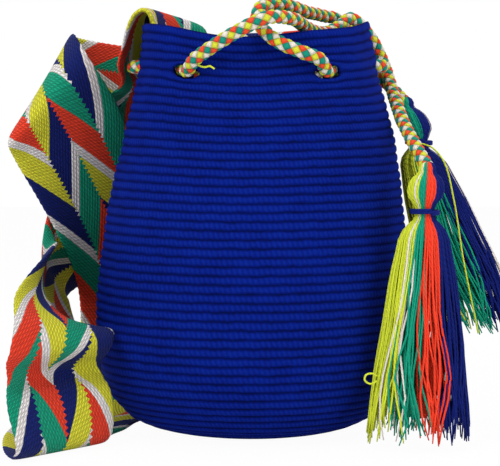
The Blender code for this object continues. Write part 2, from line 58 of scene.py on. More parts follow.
# Body, as in the part's source.
BODY_HEIGHT = 278.5 * MM
BODY_WALL = 3.0 * MM
RIDGE_HEIGHT = 1.3 * MM
RIM_SIDE_RISE = 5.5 * MM
RIM_BACK_RISE = 2.0 * MM
RIM_WAVE = 1.0 * MM
RIM_WAVE_COUNT = 5
BELLY_DEPTH_RATIO = 0.92
MOUTH_DEPTH_RATIO = 0.84
NECK_START = 0.72
NECK_GATHER = 1.2 * MM
GATHER_COUNT = 7
GATHER_TURN = 0.6
FRONT_DENT = 6.0 * MM
DENT_HALF_ANGLE = 0.30
# Nearer to the axis than this, the middle of the base leans less and less.
SHAPING_RADIUS = 20.0 * MM
BODY_OUTLINE = (
    (0.0, 40.0), (1.5, 53.0), (4.5, 67.0), (9.5, 79.5), (20.0, 91.0), (45.0, 102.5),
    (90.0, 106.0), (130.0, 104.5), (164.0, 100.7), (205.0, 92.6), (245.0, 82.7), (290.0, 76.0),
)
BODY_LEAN = (
    (0.0, 0.0), (45.0, -3.0), (90.0, -1.4), (164.0, 3.1), (205.0, 4.6), (245.0, 3.8), (290.0, 1.2),
)
EYELET_COUNT = 6
EYELET_FIRST_ANGLE = -125.7
EYELET_SPACING = -57.94
EYELET_BELOW_RIM = 27.5 * MM
EYELET_HEIGHT = BODY_HEIGHT - EYELET_BELOW_RIM
# The yarn hugs the cord more closely than the CAD eyelets do.
EYELET_WIDTH = 19.0 * MM
EYELET_RISE = 10.5 * MM

# Crocheted surface: samples of its profile and rows of faces in one round, the radius of its
# first ring, and the height over which its rounds come to stand proud.
PROFILE_SAMPLES = 4000
BASE_SAMPLES = 60
ROWS_PER_ROUND = 4
POLE_RADIUS = 0.02 * MM
STANDING_HEIGHT = 12 * MM
# Hand work swells by this much, and fully from this height on.
UNEVENNESS = 0.5 * MM
UNEVEN_HEIGHT = 40 * MM
BELLY_RADIUS = 103 * MM
# The grid parts round an eyelet: the neck's radius there, how many half-widths away the rows
# still move, the power that they move by, and the half-widths within which faces are dropped.
EYELET_WALL_RADIUS = 80 * MM
EYELET_REACH = 3.0
EYELET_POWER = 2.5
EYELET_CUT = 0.55

# Drawstring, as in the part's source.
FINE_STEP = 1.0 * MM
SPAN_SAMPLES = 25
CORD_DIAMETER = 9.0 * MM
CORD_CLEARANCE = 1.0 * MM
CORD_DROP = 1.0 * MM
CROSSING_ANGLE = 7.0
SPAN_SHARE = 0.38
# Yarns round the braid, how far its gaps lie below the plain cord's surface, how far its yarns
# stand out of the gaps, and the sides of its tube.
BRAID_YARNS = 4.0
BRAID_DIP = 0.95 * MM
BRAID_RELIEF = 1.15 * MM
BRAID_SIDES = 28
LEFT_RUN = (
    (114.5, -70.5, 184.8), (111.8, -62.5, 191), (107.5, -48, 201), (103, -26, 214), (100, 4, 230),
    (98, 29, 245), (94.5, 38.5, 258), (84.5, 37, 277), (71, 31, 289), (62, 21, 283),
    (52, 7, 277.5), (43, -12, 277), (35, -34, 279), (26, -60, 282), (9, -80, 281),
    (-10, -81, 272), (-27, -75.5, 262), (-38, -68, 254.5),
)
RIGHT_RUN = (
    (44, -68.5, 255), (32, -75, 259.5), (19, -74, 265), (9, -67.5, 272.5), (3.5, -61.5, 281),
    (5, -54, 289), (12, -44, 293), (21, -32, 294), (30, -17, 292.5), (38, -1, 291),
    (45, 15, 291), (52, 29, 290.5), (61, 42, 289.5), (71, 50, 281), (81, 52, 267),
    (89, 50, 254), (97, 42, 243.5), (103.5, 31, 236), (107.5, 22.5, 230.6),
)

# Strap, as in the part's source.
STRAP_WIDTH = 83.0 * MM
STRAP_THICKNESS = 3.4 * MM
STRAP_CLEARANCE = 2.1 * MM
BACK_END_ANGLE = 78.0
BACK_END_PATH = (
    (-2.0, 279.5), (1.0, 282.3), (4.6, 280.4), (7.0, 274), (11.5, 266), (16.0, 257), (19.0, 246),
)
LEFT_END_ANGLE = 152.5
LEFT_END_PATH = (
    (17.0, 252), (15.0, 264), (12.5, 276), (8.5, 284.5), (3.5, 287.3), (-0.8, 285.6),
)
SEWN_HEIGHTS = (261, 268, 275)
STRAP_STATIONS = (
    ((2.0, 103.0, 229), (0.86, 0.0, 0.50)),
    ((-14.0, 113.0, 222), (0.45, 0.0, 0.89)),
    ((-45.0, 118.0, 226), (0.10, 0.0, 1.0)),
    ((-84.0, 114.0, 231), (0.05, 0.05, 1.0)),
    ((-117.0, 97.0, 235), (0.12, 0.1, 0.99)),
    ((-138.0, 72.0, 238), (0.24, 0.1, 0.96)),
    ((-147.0, 42.0, 241), (0.42, 0.05, 0.90)),
    ((-147.0, 20.0, 241), (0.54, 0.05, 0.84)),
    ((-143.0, 7.0, 231), (0.66, 0.08, 0.74)),
    ((-132.5, 20.0, 210), (0.83, 0.20, 0.52)),
    ((-119.0, 38.0, 180), (0.82, 0.36, 0.44)),
    ((-106.0, 56.0, 149), (0.82, 0.43, 0.39)),
    ((-95.5, 73.5, 116), (0.81, 0.45, 0.38)),
    ((-89.0, 82.0, 67), (0.94, 0.31, 0.17)),
    ((-96.0, 84.0, 26), (0.97, 0.22, 0.10)),
    ((-102.0, 81.0, 8), (0.98, 0.0, 0.02)),
    ((-109.0, 66.0, 2.8), (0.98, -0.18, 0.0)),
    ((-124.0, 12.0, 2.4), (1.0, -0.05, 0.0)),
    ((-128.0, -26.0, 2.4), (0.97, 0.25, 0.0)),
    ((-129.0, -54.0, 2.4), (0.84, 0.54, 0.0)),
    ((-127.5, -80.0, 2.4), (0.70, 0.71, 0.0)),
    ((-123.5, -93.0, 3.2), (0.65, 0.76, 0.0)),
    ((-120.0, -98.5, 9), (0.66, 0.75, 0.0)),
    ((-120.5, -97.5, 20), (0.70, 0.71, 0.0)),
    ((-122.5, -95.5, 31), (0.73, 0.68, 0.0)),
    ((-124.5, -93.5, 40), (0.71, 0.70, 0.0), 1.0, (-2, 2, 0)),
    ((-126.5, -91.0, 45.5), (0.67, 0.74, 0.0), 0.99, (-5, 5, 0)),
    ((-127.0, -90.5, 51.5), (0.65, 0.76, 0.0), 0.98, (-7, 7, 0)),
    ((-126.5, -91.0, 57.5), (0.67, 0.74, 0.0), 0.99, (-5, 5, 0)),
    ((-124.5, -93.5, 62.5), (0.71, 0.70, 0.0), 1.0, (-2, 2, 0)),
    ((-121.5, -96.0, 70), (0.72, 0.69, 0.0)),
    ((-121.5, -86.0, 81), (0.66, 0.69, -0.12)),
    ((-130.5, -56.0, 86), (0.52, 0.62, -0.40), 0.95, (-3, -5, 3)),
    ((-130.0, 4.0, 99), (0.20, 0.35, -0.92), 0.80, (-16, -14, 0)),
    ((-138.5, 49.0, 107), (0.22, 0.0, -0.97), 0.58, (-11, -17, 1)),
    ((-142.0, 62.0, 118), (0.24, 0.10, -0.96), 0.71, (-7, -8, 0)),
    ((-122.0, 80.0, 136), (0.60, 0.55, -0.58), 0.90, (0, 6, 0)),
    ((-106.0, 84.0, 162), (0.82, 0.53, -0.20)),
    ((-99.0, 79.0, 190), (0.87, 0.50, 0.0)),
    ((-81.5, 66.0, 226), (0.82, 0.57, 0.0)),
    ((-67.5, 55.0, 240), (0.70, 0.71, 0.0), 0.93, (-9, 6, 0)),
)
ZONE_COUNT = 4
BAND_SLOPE = 2.14
BAND_PHASE = 13.5
# Each row of the strap's faces is two steps of its guides long. Its edges are scalloped by the
# turning weft: length in millimetres, and share of the half-width.
STRAP_STEP = 2
STRAP_COLUMNS = 43
SCALLOP_LENGTH = 6.0
SCALLOP_SHARE = 0.006
# The teeth of a join between zones are twice this long, and stand out by TOOTH_DEPTH.
TOOTH_LENGTH = 2.0
TOOTH_DEPTH = 1.3
# Bands across one repeat of the chevron, in millimetres.
BANDS = ((13.5, "white"), (38, "green"), (38, "red"), (13.5, "white"), (38, "lime"), (38, "navy"))

# Tassels, as in the part's source.
TASSEL_LENGTH = 172.0
NECK_RADIUS = 8.0
NECK_PLACE = 25.5
NECK_HALF = 5.0
TASSEL_OUTLINE = (
    (0, 5.0, 5.0), (3, 9.5, 9.0), (9, 12.4, 11.0), (16, 11.5, 10.0), (20.5, 8.0, 8.0),
    (30.5, 8.0, 8.0), (36, 13.5, 11.0), (56, 20.0, 13.5), (96, 26.5, 15.5), (136, 32.5, 17.0),
    (172, 36.0, 18.0),
)
FRONT_TASSEL = ((114.5, -71.0, 181.0), (113.0, -72.0, 155.5), (109.5, -77.0, 8.0))
REAR_TASSEL = ((109.0, 20.0, 226.0), (118.5, 22.0, 201.0), (163.0, 28.0, 68.0))
# Depths down a tassel at which a strand of yarn has its rings, in millimetres.
STRAND_DEPTHS = (-7, -5.5, -3, -1, 1.2, 3, 6, 9, 12.5, 16, 18.5, 20.5, 24, 28, 31, 34, 38, 44,
                 52, 62, 74, 88, 102, 116, 130, 144, 158, 172)
STRAND_SIDES = 5
# One twist of the two plies for each so many millimetres of yarn.
PLY_LENGTH = 4.0
# Share of the strands that make up the outside of a tassel, and how far in the others reach.
OUTER_STRANDS = 0.62
INNER_EDGE = 0.88
# The yarn wraps the end of the cord at this radius, and is drawn in above it.
WRAP_RADIUS = 6.0 * MM
# Binding of a tassel's neck: turns, how far it stands off, rise, yarn radius and sides.
TIE_TURNS = 2
TIE_STANDOFF = 0.9
TIE_RISE = 2.6 * MM
TIE_RADIUS = 1.1 * MM
TIE_SIDES = 10
TIE_TWIST = 0.45
THREAD_SIDES = 6
# Single threads that have come loose: name, colour, and the places that each runs through.
LOOSE_THREADS = (
    ("skirt_loop", "yellow", ((81, -85, 46), (76.5, -88, 44.6), (72.9, -88.5, 47),
                              (73.6, -88.5, 50.4), (77, -88, 51.4), (81, -85, 49.5))),
    ("stray_strand", "yellow", ((118.5, 13, 200.5), (127, 11, 197), (135, 9, 187), (142, 8, 160),
                                (149, 8, 118), (160, 9, 66))),
    ("eyelet_wisp", "yellow", ((-37, -66, 251.8), (-31, -69.5, 249.8), (-27.5, -71, 250.4),
                               (-24.5, -70.8, 248.6))),
)
# Colours of yarn across a tassel from its left: the place where each share ends, and its colour.
FRONT_SHARES = ((-0.56, "yellow"), (-0.50, "white"), (0.02, "green"), (0.38, "orange"),
                (1.1, "blue"))
REAR_SHARES = ((-0.45, "yellow"), (0.20, "green"), (0.88, "blue"), (0.94, "orange"),
               (1.1, "white"))

# Stage, in metres: the camera looks along +Y, 3.16 degrees down.
CAMERA_PLACE = (-0.0014, -1.130, 0.200)
CAMERA_DIP = 3.16
CAMERA_LENS = 116.57
SENSOR_WIDTH = 36.0
LAMP_SIZE = 1.1
LAMP_AIM = (0.0, 0.0, 0.14)
KEY_PLACE = (-1.0, -1.15, 1.1)
FILL_PLACE = (1.25, -1.0, 0.7)
TOP_PLACE = (0.1, 0.2, 1.6)
FLOOR_HALF = 4
# Share of plain white in what the camera sees of the floor; the rest is lit, with a shadow.
FLOOR_GLOW = 0.96


def linear(code):
    """Turn an sRGB hex colour into linear red, green and blue."""
    values = [int(code[k:k + 2], 16) / 255 for k in (1, 3, 5)]
    return tuple(v / 12.92 if v <= 0.04045 else ((v + 0.055) / 1.055) ** 2.4 for v in values)


def colour(name, description, code):
    """A colour property whose default is an sRGB hex colour."""
    return FloatVectorProperty(name=name, description=description, default=linear(code),
                               subtype="COLOR", size=3, min=0.0, max=1.0)


class MochilaBodySettings(bpy.types.PropertyGroup):
    """Sizes and colours of the crocheted body."""

    row_pitch: FloatProperty(
        name="Row pitch", description="Height of one round of crochet", default=5.9 * MM,
        unit="LENGTH", min=3 * MM, max=12 * MM)
    stitch_width: FloatProperty(
        name="Stitch width", description="Width of one stitch at the belly", default=3.4 * MM,
        unit="LENGTH", min=1 * MM, max=10 * MM)
    relief: FloatProperty(
        name="Row relief", description="How far each round stands proud", default=1.05 * MM,
        unit="LENGTH", min=0.0, max=3 * MM)
    columns: IntProperty(
        name="Columns", description="Faces round the body", default=166, min=48, max=166)
    yarn: colour("Yarn", "Colour of the cotton", "#041770")
    # The crest colour is a painted highlight on the stitches, the groove colour painted shade
    # between them.
    painted_crest_highlight: colour("Crest", "Colour where the stitches catch the light", "#09288E")
    painted_groove_shade: colour("Groove", "Colour between the stitches", "#010734")


class MochilaStrapSettings(bpy.types.PropertyGroup):
    """Sizes and colours of the woven strap."""

    yarn_pitch: FloatProperty(
        name="Yarn pitch", description="Distance between neighbouring yarns", default=2.0 * MM,
        unit="LENGTH", min=0.5 * MM, max=6 * MM)
    float_length: FloatProperty(
        name="Float length", description="Visible length of one yarn float", default=3.6 * MM,
        unit="LENGTH", min=1 * MM, max=12 * MM)
    white: colour("White", "Colour of the narrow bands", "#F2ECE9")
    green: colour("Green", "Colour of the green bands", "#12A07C")
    red: colour("Red", "Colour of the orange-red bands", "#F5452B")
    lime: colour("Lime", "Colour of the lime bands", "#E6E23C")
    navy: colour("Navy", "Colour of the navy bands", "#0B1E6B")


class MochilaCordSettings(bpy.types.PropertyGroup):
    """Sizes and colours of the braided drawstring."""

    tile: FloatProperty(
        name="Braid tile", description="Length of one crossing of the braid", default=6.0 * MM,
        unit="LENGTH", min=2 * MM, max=20 * MM)
    orange: colour("Orange", "Colour of the first strand", "#F0502E")
    white: colour("White", "Colour of the second strand", "#E8E0D2")
    green: colour("Green", "Colour of the third strand", "#12937A")
    yellow: colour("Yellow", "Colour of the fourth strand", "#D8DC3A")


class MochilaTasselSettings(bpy.types.PropertyGroup):
    """Sizes and colours of the yarn tassels."""

    strands: IntProperty(
        name="Strands", description="Strands of yarn in each tassel", default=230, min=40, max=400)
    strand_width: FloatProperty(
        name="Strand width", description="Thickness of one strand", default=1.45 * MM,
        unit="LENGTH", min=0.5 * MM, max=4 * MM)
    yellow: colour("Yellow", "Colour of the lime yarn", "#DCE83C")
    green: colour("Green", "Colour of the teal yarn", "#119C7C")
    orange: colour("Orange", "Colour of the orange yarn", "#F5452B")
    blue: colour("Blue", "Colour of the navy yarn", "#061A6E")
    white: colour("White", "Colour of the white yarn", "#E8E0D8")


class MochilaStageSettings(bpy.types.PropertyGroup):
    """Floor and lights."""

    floor: colour("Floor", "Colour of the floor", "#F4F4F4")
    sky: FloatProperty(name="Sky", description="Strength of the even light", default=0.62, min=0.0,
                       max=2.0)
    key_power: FloatProperty(name="Key light", description="Power of the light from the left",
                             default=15.0, min=0.0, max=100.0, unit="POWER")
    fill_power: FloatProperty(name="Fill light", description="Power of the light from the right",
                              default=9.0, min=0.0, max=100.0, unit="POWER")


def read_curve(table, place):
    """Cubic Hermite curve through (place, value) rows in millimetres, with central slopes."""
    keys = np.array([row[0] for row in table]) * MM
    values = np.array([row[1] for row in table]) * MM
    slopes = np.gradient(values, keys)
    place = np.clip(np.asarray(place, dtype=float), keys[0], keys[-1])
    left = np.clip(np.searchsorted(keys, place, side="right") - 1, 0, len(keys) - 2)
    span = keys[left + 1] - keys[left]
    share = (place - keys[left]) / span
    start = (2 * share**3 - 3 * share**2 + 1) * values[left]
    start = start + (share**3 - 2 * share**2 + share) * span * slopes[left]
    end = (3 * share**2 - 2 * share**3) * values[left + 1]
    end = end + (share**3 - share**2) * span * slopes[left + 1]
    return start + end


def depth_ratio(height):
    """Half-depth over half-width: falls with the square of the height, belly to mouth."""
    share = np.clip(height / BODY_HEIGHT, 0.0, 1.0)
    return BELLY_DEPTH_RATIO + (MOUTH_DEPTH_RATIO - BELLY_DEPTH_RATIO) * share**2


def shape_body(radius, angle, height):
    """Ellipse that leans with height, gathered and dented at the neck, with a wavy rim."""
    share = np.clip(height / BODY_HEIGHT, 0.0, 1.1)
    neck = np.clip((share - NECK_START) / (1.0 - NECK_START), 0.0, 1.1)
    aside = np.mod(angle + math.pi, math.tau) - 0.5 * math.pi
    dent = FRONT_DENT * np.exp(-((aside / DENT_HALF_ANGLE) ** 2))
    gather = NECK_GATHER * np.sin(GATHER_COUNT * angle + GATHER_TURN)
    pulled = radius + (gather - dent) * neck * np.clip(radius / SHAPING_RADIUS, 0.0, 1.0)
    rim = RIM_SIDE_RISE * np.cos(2 * angle) + RIM_BACK_RISE * np.sin(angle)
    rim = rim + RIM_WAVE * np.sin(RIM_WAVE_COUNT * angle + 1.0)
    x = read_curve(BODY_LEAN, height) * np.clip(radius / SHAPING_RADIUS, 0.0, 1.0)
    x = x + pulled * np.cos(angle)
    y = pulled * depth_ratio(height) * np.sin(angle)
    z = height + rim * share**3
    return np.stack([x, y, z], axis=-1)


def wall_place(angle, height, outward):
    """Middle of the neck's wall at an angle and height, moved outward along its normal."""
    radius = float(read_curve(BODY_OUTLINE, height)) - 0.5 * BODY_WALL
    ratio = float(depth_ratio(height))
    place = shape_body(np.array(radius), np.array(angle), np.array(height))
    away = np.array([math.cos(angle), math.sin(angle) / ratio, 0.0])
    return place + outward * away / np.linalg.norm(away)


def spline_through(points, step):
    """Centripetal Catmull-Rom curve through the points, read again at even steps of length."""
    points = np.asarray(points, dtype=float)
    padded = np.vstack([2 * points[0] - points[1], points, 2 * points[-1] - points[-2]])
    gaps = np.sqrt(np.linalg.norm(np.diff(padded[:, :3], axis=0), axis=1))
    knots = np.concatenate([[0.0], np.cumsum(gaps)])
    dense = []
    for k in range(1, len(padded) - 2):
        t0, t1, t2, t3 = knots[k - 1:k + 3]
        t = np.linspace(t1, t2, SPAN_SAMPLES)[:, None]
        a1 = (t1 - t) / (t1 - t0) * padded[k - 1] + (t - t0) / (t1 - t0) * padded[k]
        a2 = (t2 - t) / (t2 - t1) * padded[k] + (t - t1) / (t2 - t1) * padded[k + 1]
        a3 = (t3 - t) / (t3 - t2) * padded[k + 1] + (t - t2) / (t3 - t2) * padded[k + 2]
        b1 = (t2 - t) / (t2 - t0) * a1 + (t - t0) / (t2 - t0) * a2
        b2 = (t3 - t) / (t3 - t1) * a2 + (t - t1) / (t3 - t1) * a3
        dense.append(((t2 - t) / (t2 - t1) * b1 + (t - t1) / (t2 - t1) * b2)[:-1])
    dense = np.vstack(dense + [points[-1:]])
    lengths = np.linalg.norm(np.diff(dense[:, :3], axis=0), axis=1)
    travelled = np.concatenate([[0.0], np.cumsum(lengths)])
    places = np.linspace(0.0, travelled[-1], max(2, int(round(travelled[-1] / step)) + 1))
    return np.stack([np.interp(places, travelled, column) for column in dense.T], axis=1)


def unit(vectors):
    """Vectors at length 1."""
    return vectors / np.linalg.norm(vectors, axis=-1, keepdims=True)


def sheets_mesh(name, points, uv, closed, ends, keep=None, tone=None):
    """One mesh of n grids: a quad between neighbouring rows and columns of each.

    points is (n, rows, columns, 3). uv is (n, rows, columns + 1, 2) on a closed grid, whose last
    column joins its first, and (n, rows, columns, 2) on an open one. ends closes the first and
    last rows with one face each. keep drops faces of a single grid, tone is a value for each.
    """
    count, rows, columns = points.shape[:3]
    wide = columns if closed else columns - 1
    k, i, j = np.meshgrid(np.arange(count), np.arange(rows - 1), np.arange(wide), indexing="ij")
    near = (k * rows + i) * columns
    far = near + columns
    after = (j + 1) % columns
    quads = np.stack([near + j, near + after, far + after, far + j], axis=-1).reshape(-1, 4)
    corners = np.stack([uv[k, i, j], uv[k, i, j + 1], uv[k, i + 1, j + 1], uv[k, i + 1, j]],
                       axis=-2).reshape(-1, 4, 2)
    if keep is not None:
        quads, corners = quads[keep], corners[keep]
    loops, spots, sizes = [quads.ravel()], [corners.reshape(-1, 2)], [np.full(len(quads), 4)]
    if ends:
        ring = np.arange(columns)
        first = np.arange(count)[:, None] * rows * columns + ring[::-1]
        last = (np.arange(count)[:, None] * rows + rows - 1) * columns + ring
        loops += [first.ravel(), last.ravel()]
        spots += [uv[:, 0, :columns][:, ::-1].reshape(-1, 2), uv[:, -1, :columns].reshape(-1, 2)]
        sizes += [np.full(2 * count, columns)]
    loops, spots, sizes = np.concatenate(loops), np.concatenate(spots), np.concatenate(sizes)
    starts = np.concatenate([[0], np.cumsum(sizes)[:-1]])
    mesh = bpy.data.meshes.new(name)
    mesh.vertices.add(count * rows * columns)
    mesh.vertices.foreach_set("co", points.astype(np.float32).ravel())
    mesh.loops.add(len(loops))
    mesh.loops.foreach_set("vertex_index", loops.astype(np.int32))
    mesh.polygons.add(len(sizes))
    mesh.polygons.foreach_set("loop_start", starts.astype(np.int32))
    mesh.update(calc_edges=True)
    layer = mesh.uv_layers.new(name="weave")
    layer.data.foreach_set("uv", spots.astype(np.float32).ravel())
    if tone is not None:
        shade = mesh.attributes.new("tone", "FLOAT", "POINT")
        shade.data.foreach_set("value", np.repeat(tone, rows * columns).astype(np.float32))
    mesh.validate()
    mesh.shade_smooth()
    return mesh


def grid_uv(across, along):
    """UV map of a grid, or of a stack of grids: columns are at across and rows at along."""
    return np.stack(np.broadcast_arrays(across[None, :], along[..., None]), axis=-1)


def add_piece(name, mesh, material, slot, *nodes):
    """Link a finished piece, ride it on the body, and let it stand for its CAD nodes."""
    missing = [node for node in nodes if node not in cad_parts]
    if missing:
        raise RuntimeError(f"{name} has no CAD node named {missing[0]}")
    piece = bpy.data.objects.new(name, mesh)
    mesh.materials.append(material)
    bpy.context.scene.collection.objects.link(piece)
    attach(piece, "root")
    if nodes:
        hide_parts(*nodes)
    return piece


def path_frames(path):
    """Along, side and up vectors of a path, each carried on from the last with no twist."""
    along = unit(np.gradient(path, axis=0))
    side = np.empty_like(along)
    start = np.cross(along[0], (0.0, 0.0, 1.0) if abs(along[0][2]) < 0.9 else (1.0, 0.0, 0.0))
    side[0] = start / np.linalg.norm(start)
    for k in range(1, len(path)):
        carried = side[k - 1] - along[k] * np.dot(side[k - 1], along[k])
        side[k] = carried / np.linalg.norm(carried)
    return along, side, np.cross(along, side)


def tube_points(path, radius, sides):
    """Tube: path(k) + radius(k, angle) * (side cos(angle) + up sin(angle))."""
    _, side, up = path_frames(path)
    angle = np.arange(sides) / sides * math.tau
    round_it = side[:, None] * np.cos(angle)[:, None] + up[:, None] * np.sin(angle)[:, None]
    return path[:, None] + radius[..., None] * round_it


def yarn_mesh(name, path, radius, sides, twist, tone):
    """Mesh of one yarn: a plain tube along a path, whose plies turn by twist at each point."""
    points = tube_points(path, np.full((len(path), sides), radius), sides)
    uv = grid_uv(np.arange(sides + 1) / sides, np.arange(len(path)) * twist)
    return sheets_mesh(name, points[None], uv[None], True, True, tone=np.array([tone]))


def add_node(tree, kind, inputs=(), out=0, **settings):
    """Add a node with its settings and its sockets' values or links; return one output."""
    node = tree.nodes.new(kind)
    for name, value in settings.items():
        setattr(node, name, value)
    for name, value in dict(inputs).items():
        if isinstance(value, bpy.types.NodeSocket):
            tree.links.new(value, node.inputs[name])
        else:
            node.inputs[name].default_value = value
    return node.outputs[out]


def cloth_material(name, roughness, gloss, sheen):
    """Start a matte yarn material: cotton has a low gloss and a soft sheen of loose fibres."""
    material = bpy.data.materials.new(name)
    material.use_nodes = True
    shader = material.node_tree.nodes["Principled BSDF"]
    shader.inputs["Roughness"].default_value = roughness
    shader.inputs["Specular IOR Level"].default_value = gloss
    shader.inputs["Sheen Weight"].default_value = sheen
    shader.inputs["Sheen Roughness"].default_value = 0.5
    return material, material.node_tree, shader


def weave_place(tree):
    """Place across and along a piece's own weave."""
    spot = add_node(tree, "ShaderNodeUVMap", uv_map="weave")
    across = add_node(tree, "ShaderNodeSeparateXYZ", {0: spot})
    return across, across.node.outputs[1]


def lit_yarn(tree, yarn, light):
    """Colour of the yarn times a plain number that paints in light and shade, and any random tone
    of the yarn.
    """
    grey = add_node(tree, "ShaderNodeCombineXYZ", {0: light, 1: light, 2: light})
    return add_node(tree, "ShaderNodeMix", {0: 1.0, 6: yarn, 7: grey}, out=2,
                    data_type="RGBA", blend_type="MULTIPLY")


def shade(tree, shader, base, height, depth, strength):
    """Give the shader its colour and a bump of a real depth."""
    bump = add_node(tree, "ShaderNodeBump", {"Height": height, "Distance": depth,
                                             "Strength": strength})
    tree.links.new(base, shader.inputs["Base Color"])
    tree.links.new(bump, shader.inputs["Normal"])


def crocheted_cotton(settings):
    """Crocheted cotton: rounds of slanting stitches with painted shade in the gaps and a painted
    highlight on each stitch, a little mottled.
    """
    material, tree, shader = cloth_material("crocheted_cotton", 0.92, 0.04, 0.0)
    u, v = weave_place(tree)
    place = add_node(tree, "ShaderNodeTexCoord", out=3)
    # Hand work: the joints between rounds waver every 7 mm, by up to a seventh of a round.
    waver = add_node(tree, "ShaderNodeTexNoise", {"Vector": place, "Scale": 140.0, "Detail": 1.0})
    v = add_node(tree, MATH, {0: waver, 1: 0.28, 2: v}, operation="MULTIPLY_ADD")
    v = add_node(tree, MATH, {0: v, 1: 0.14}, operation="SUBTRACT")
    # Each stitch leans by a little over half its width within its round.
    within = add_node(tree, MATH, {0: v}, operation="FRACT")
    lean = add_node(tree, MATH, {0: within, 1: 0.6, 2: u}, operation="MULTIPLY_ADD")
    stitch = add_node(tree, MATH, {0: lean, 1: 0.5}, operation="PINGPONG")
    stitch = add_node(tree, MATH, {0: stitch, 1: 0.9, 2: 0.6}, operation="MULTIPLY_ADD",
                      use_clamp=True)
    joint = add_node(tree, MATH, {0: v, 1: 0.5}, operation="PINGPONG")
    joint = add_node(tree, MATH, {0: joint, 1: 3.2}, operation="MULTIPLY", use_clamp=True)
    loft = add_node(tree, MATH, {0: stitch, 1: joint}, operation="MULTIPLY")
    # Fibres of about 1.2 mm, coarser than real ones so that they show, and clouds of 17 mm.
    fibre = add_node(tree, "ShaderNodeTexNoise", {"Vector": place, "Scale": 850.0, "Detail": 2.0})
    cloud = add_node(tree, "ShaderNodeTexNoise", {"Vector": place, "Scale": 60.0, "Detail": 3.0})
    lit = add_node(tree, MATH, {0: fibre, 1: 0.5, 2: loft}, operation="MULTIPLY_ADD")
    lit = add_node(tree, MATH, {0: cloud, 1: 0.5, 2: lit}, operation="MULTIPLY_ADD")
    lit = add_node(tree, MATH, {0: lit, 1: 0.5}, operation="MULTIPLY")
    # Painted light: where the stitches dip towards the gaps the ramp paints shade with the groove
    # colour, and on their crests a painted highlight with the crest colour; fibre and cloud add
    # the yarn's own random tone.
    ramp = add_node(tree, "ShaderNodeValToRGB", {0: lit})
    stops = ramp.node.color_ramp.elements
    stops[0].position, stops[0].color = 0.18, (*settings.painted_groove_shade, 1.0)
    stops[1].position, stops[1].color = 0.95, (*settings.painted_crest_highlight, 1.0)
    stops.new(0.55).color = (*settings.yarn, 1.0)
    height = add_node(tree, MATH, {0: fibre, 1: 0.6, 2: loft}, operation="MULTIPLY_ADD")
    shade(tree, shader, ramp, height, 0.7 * MM, 0.7)
    return material


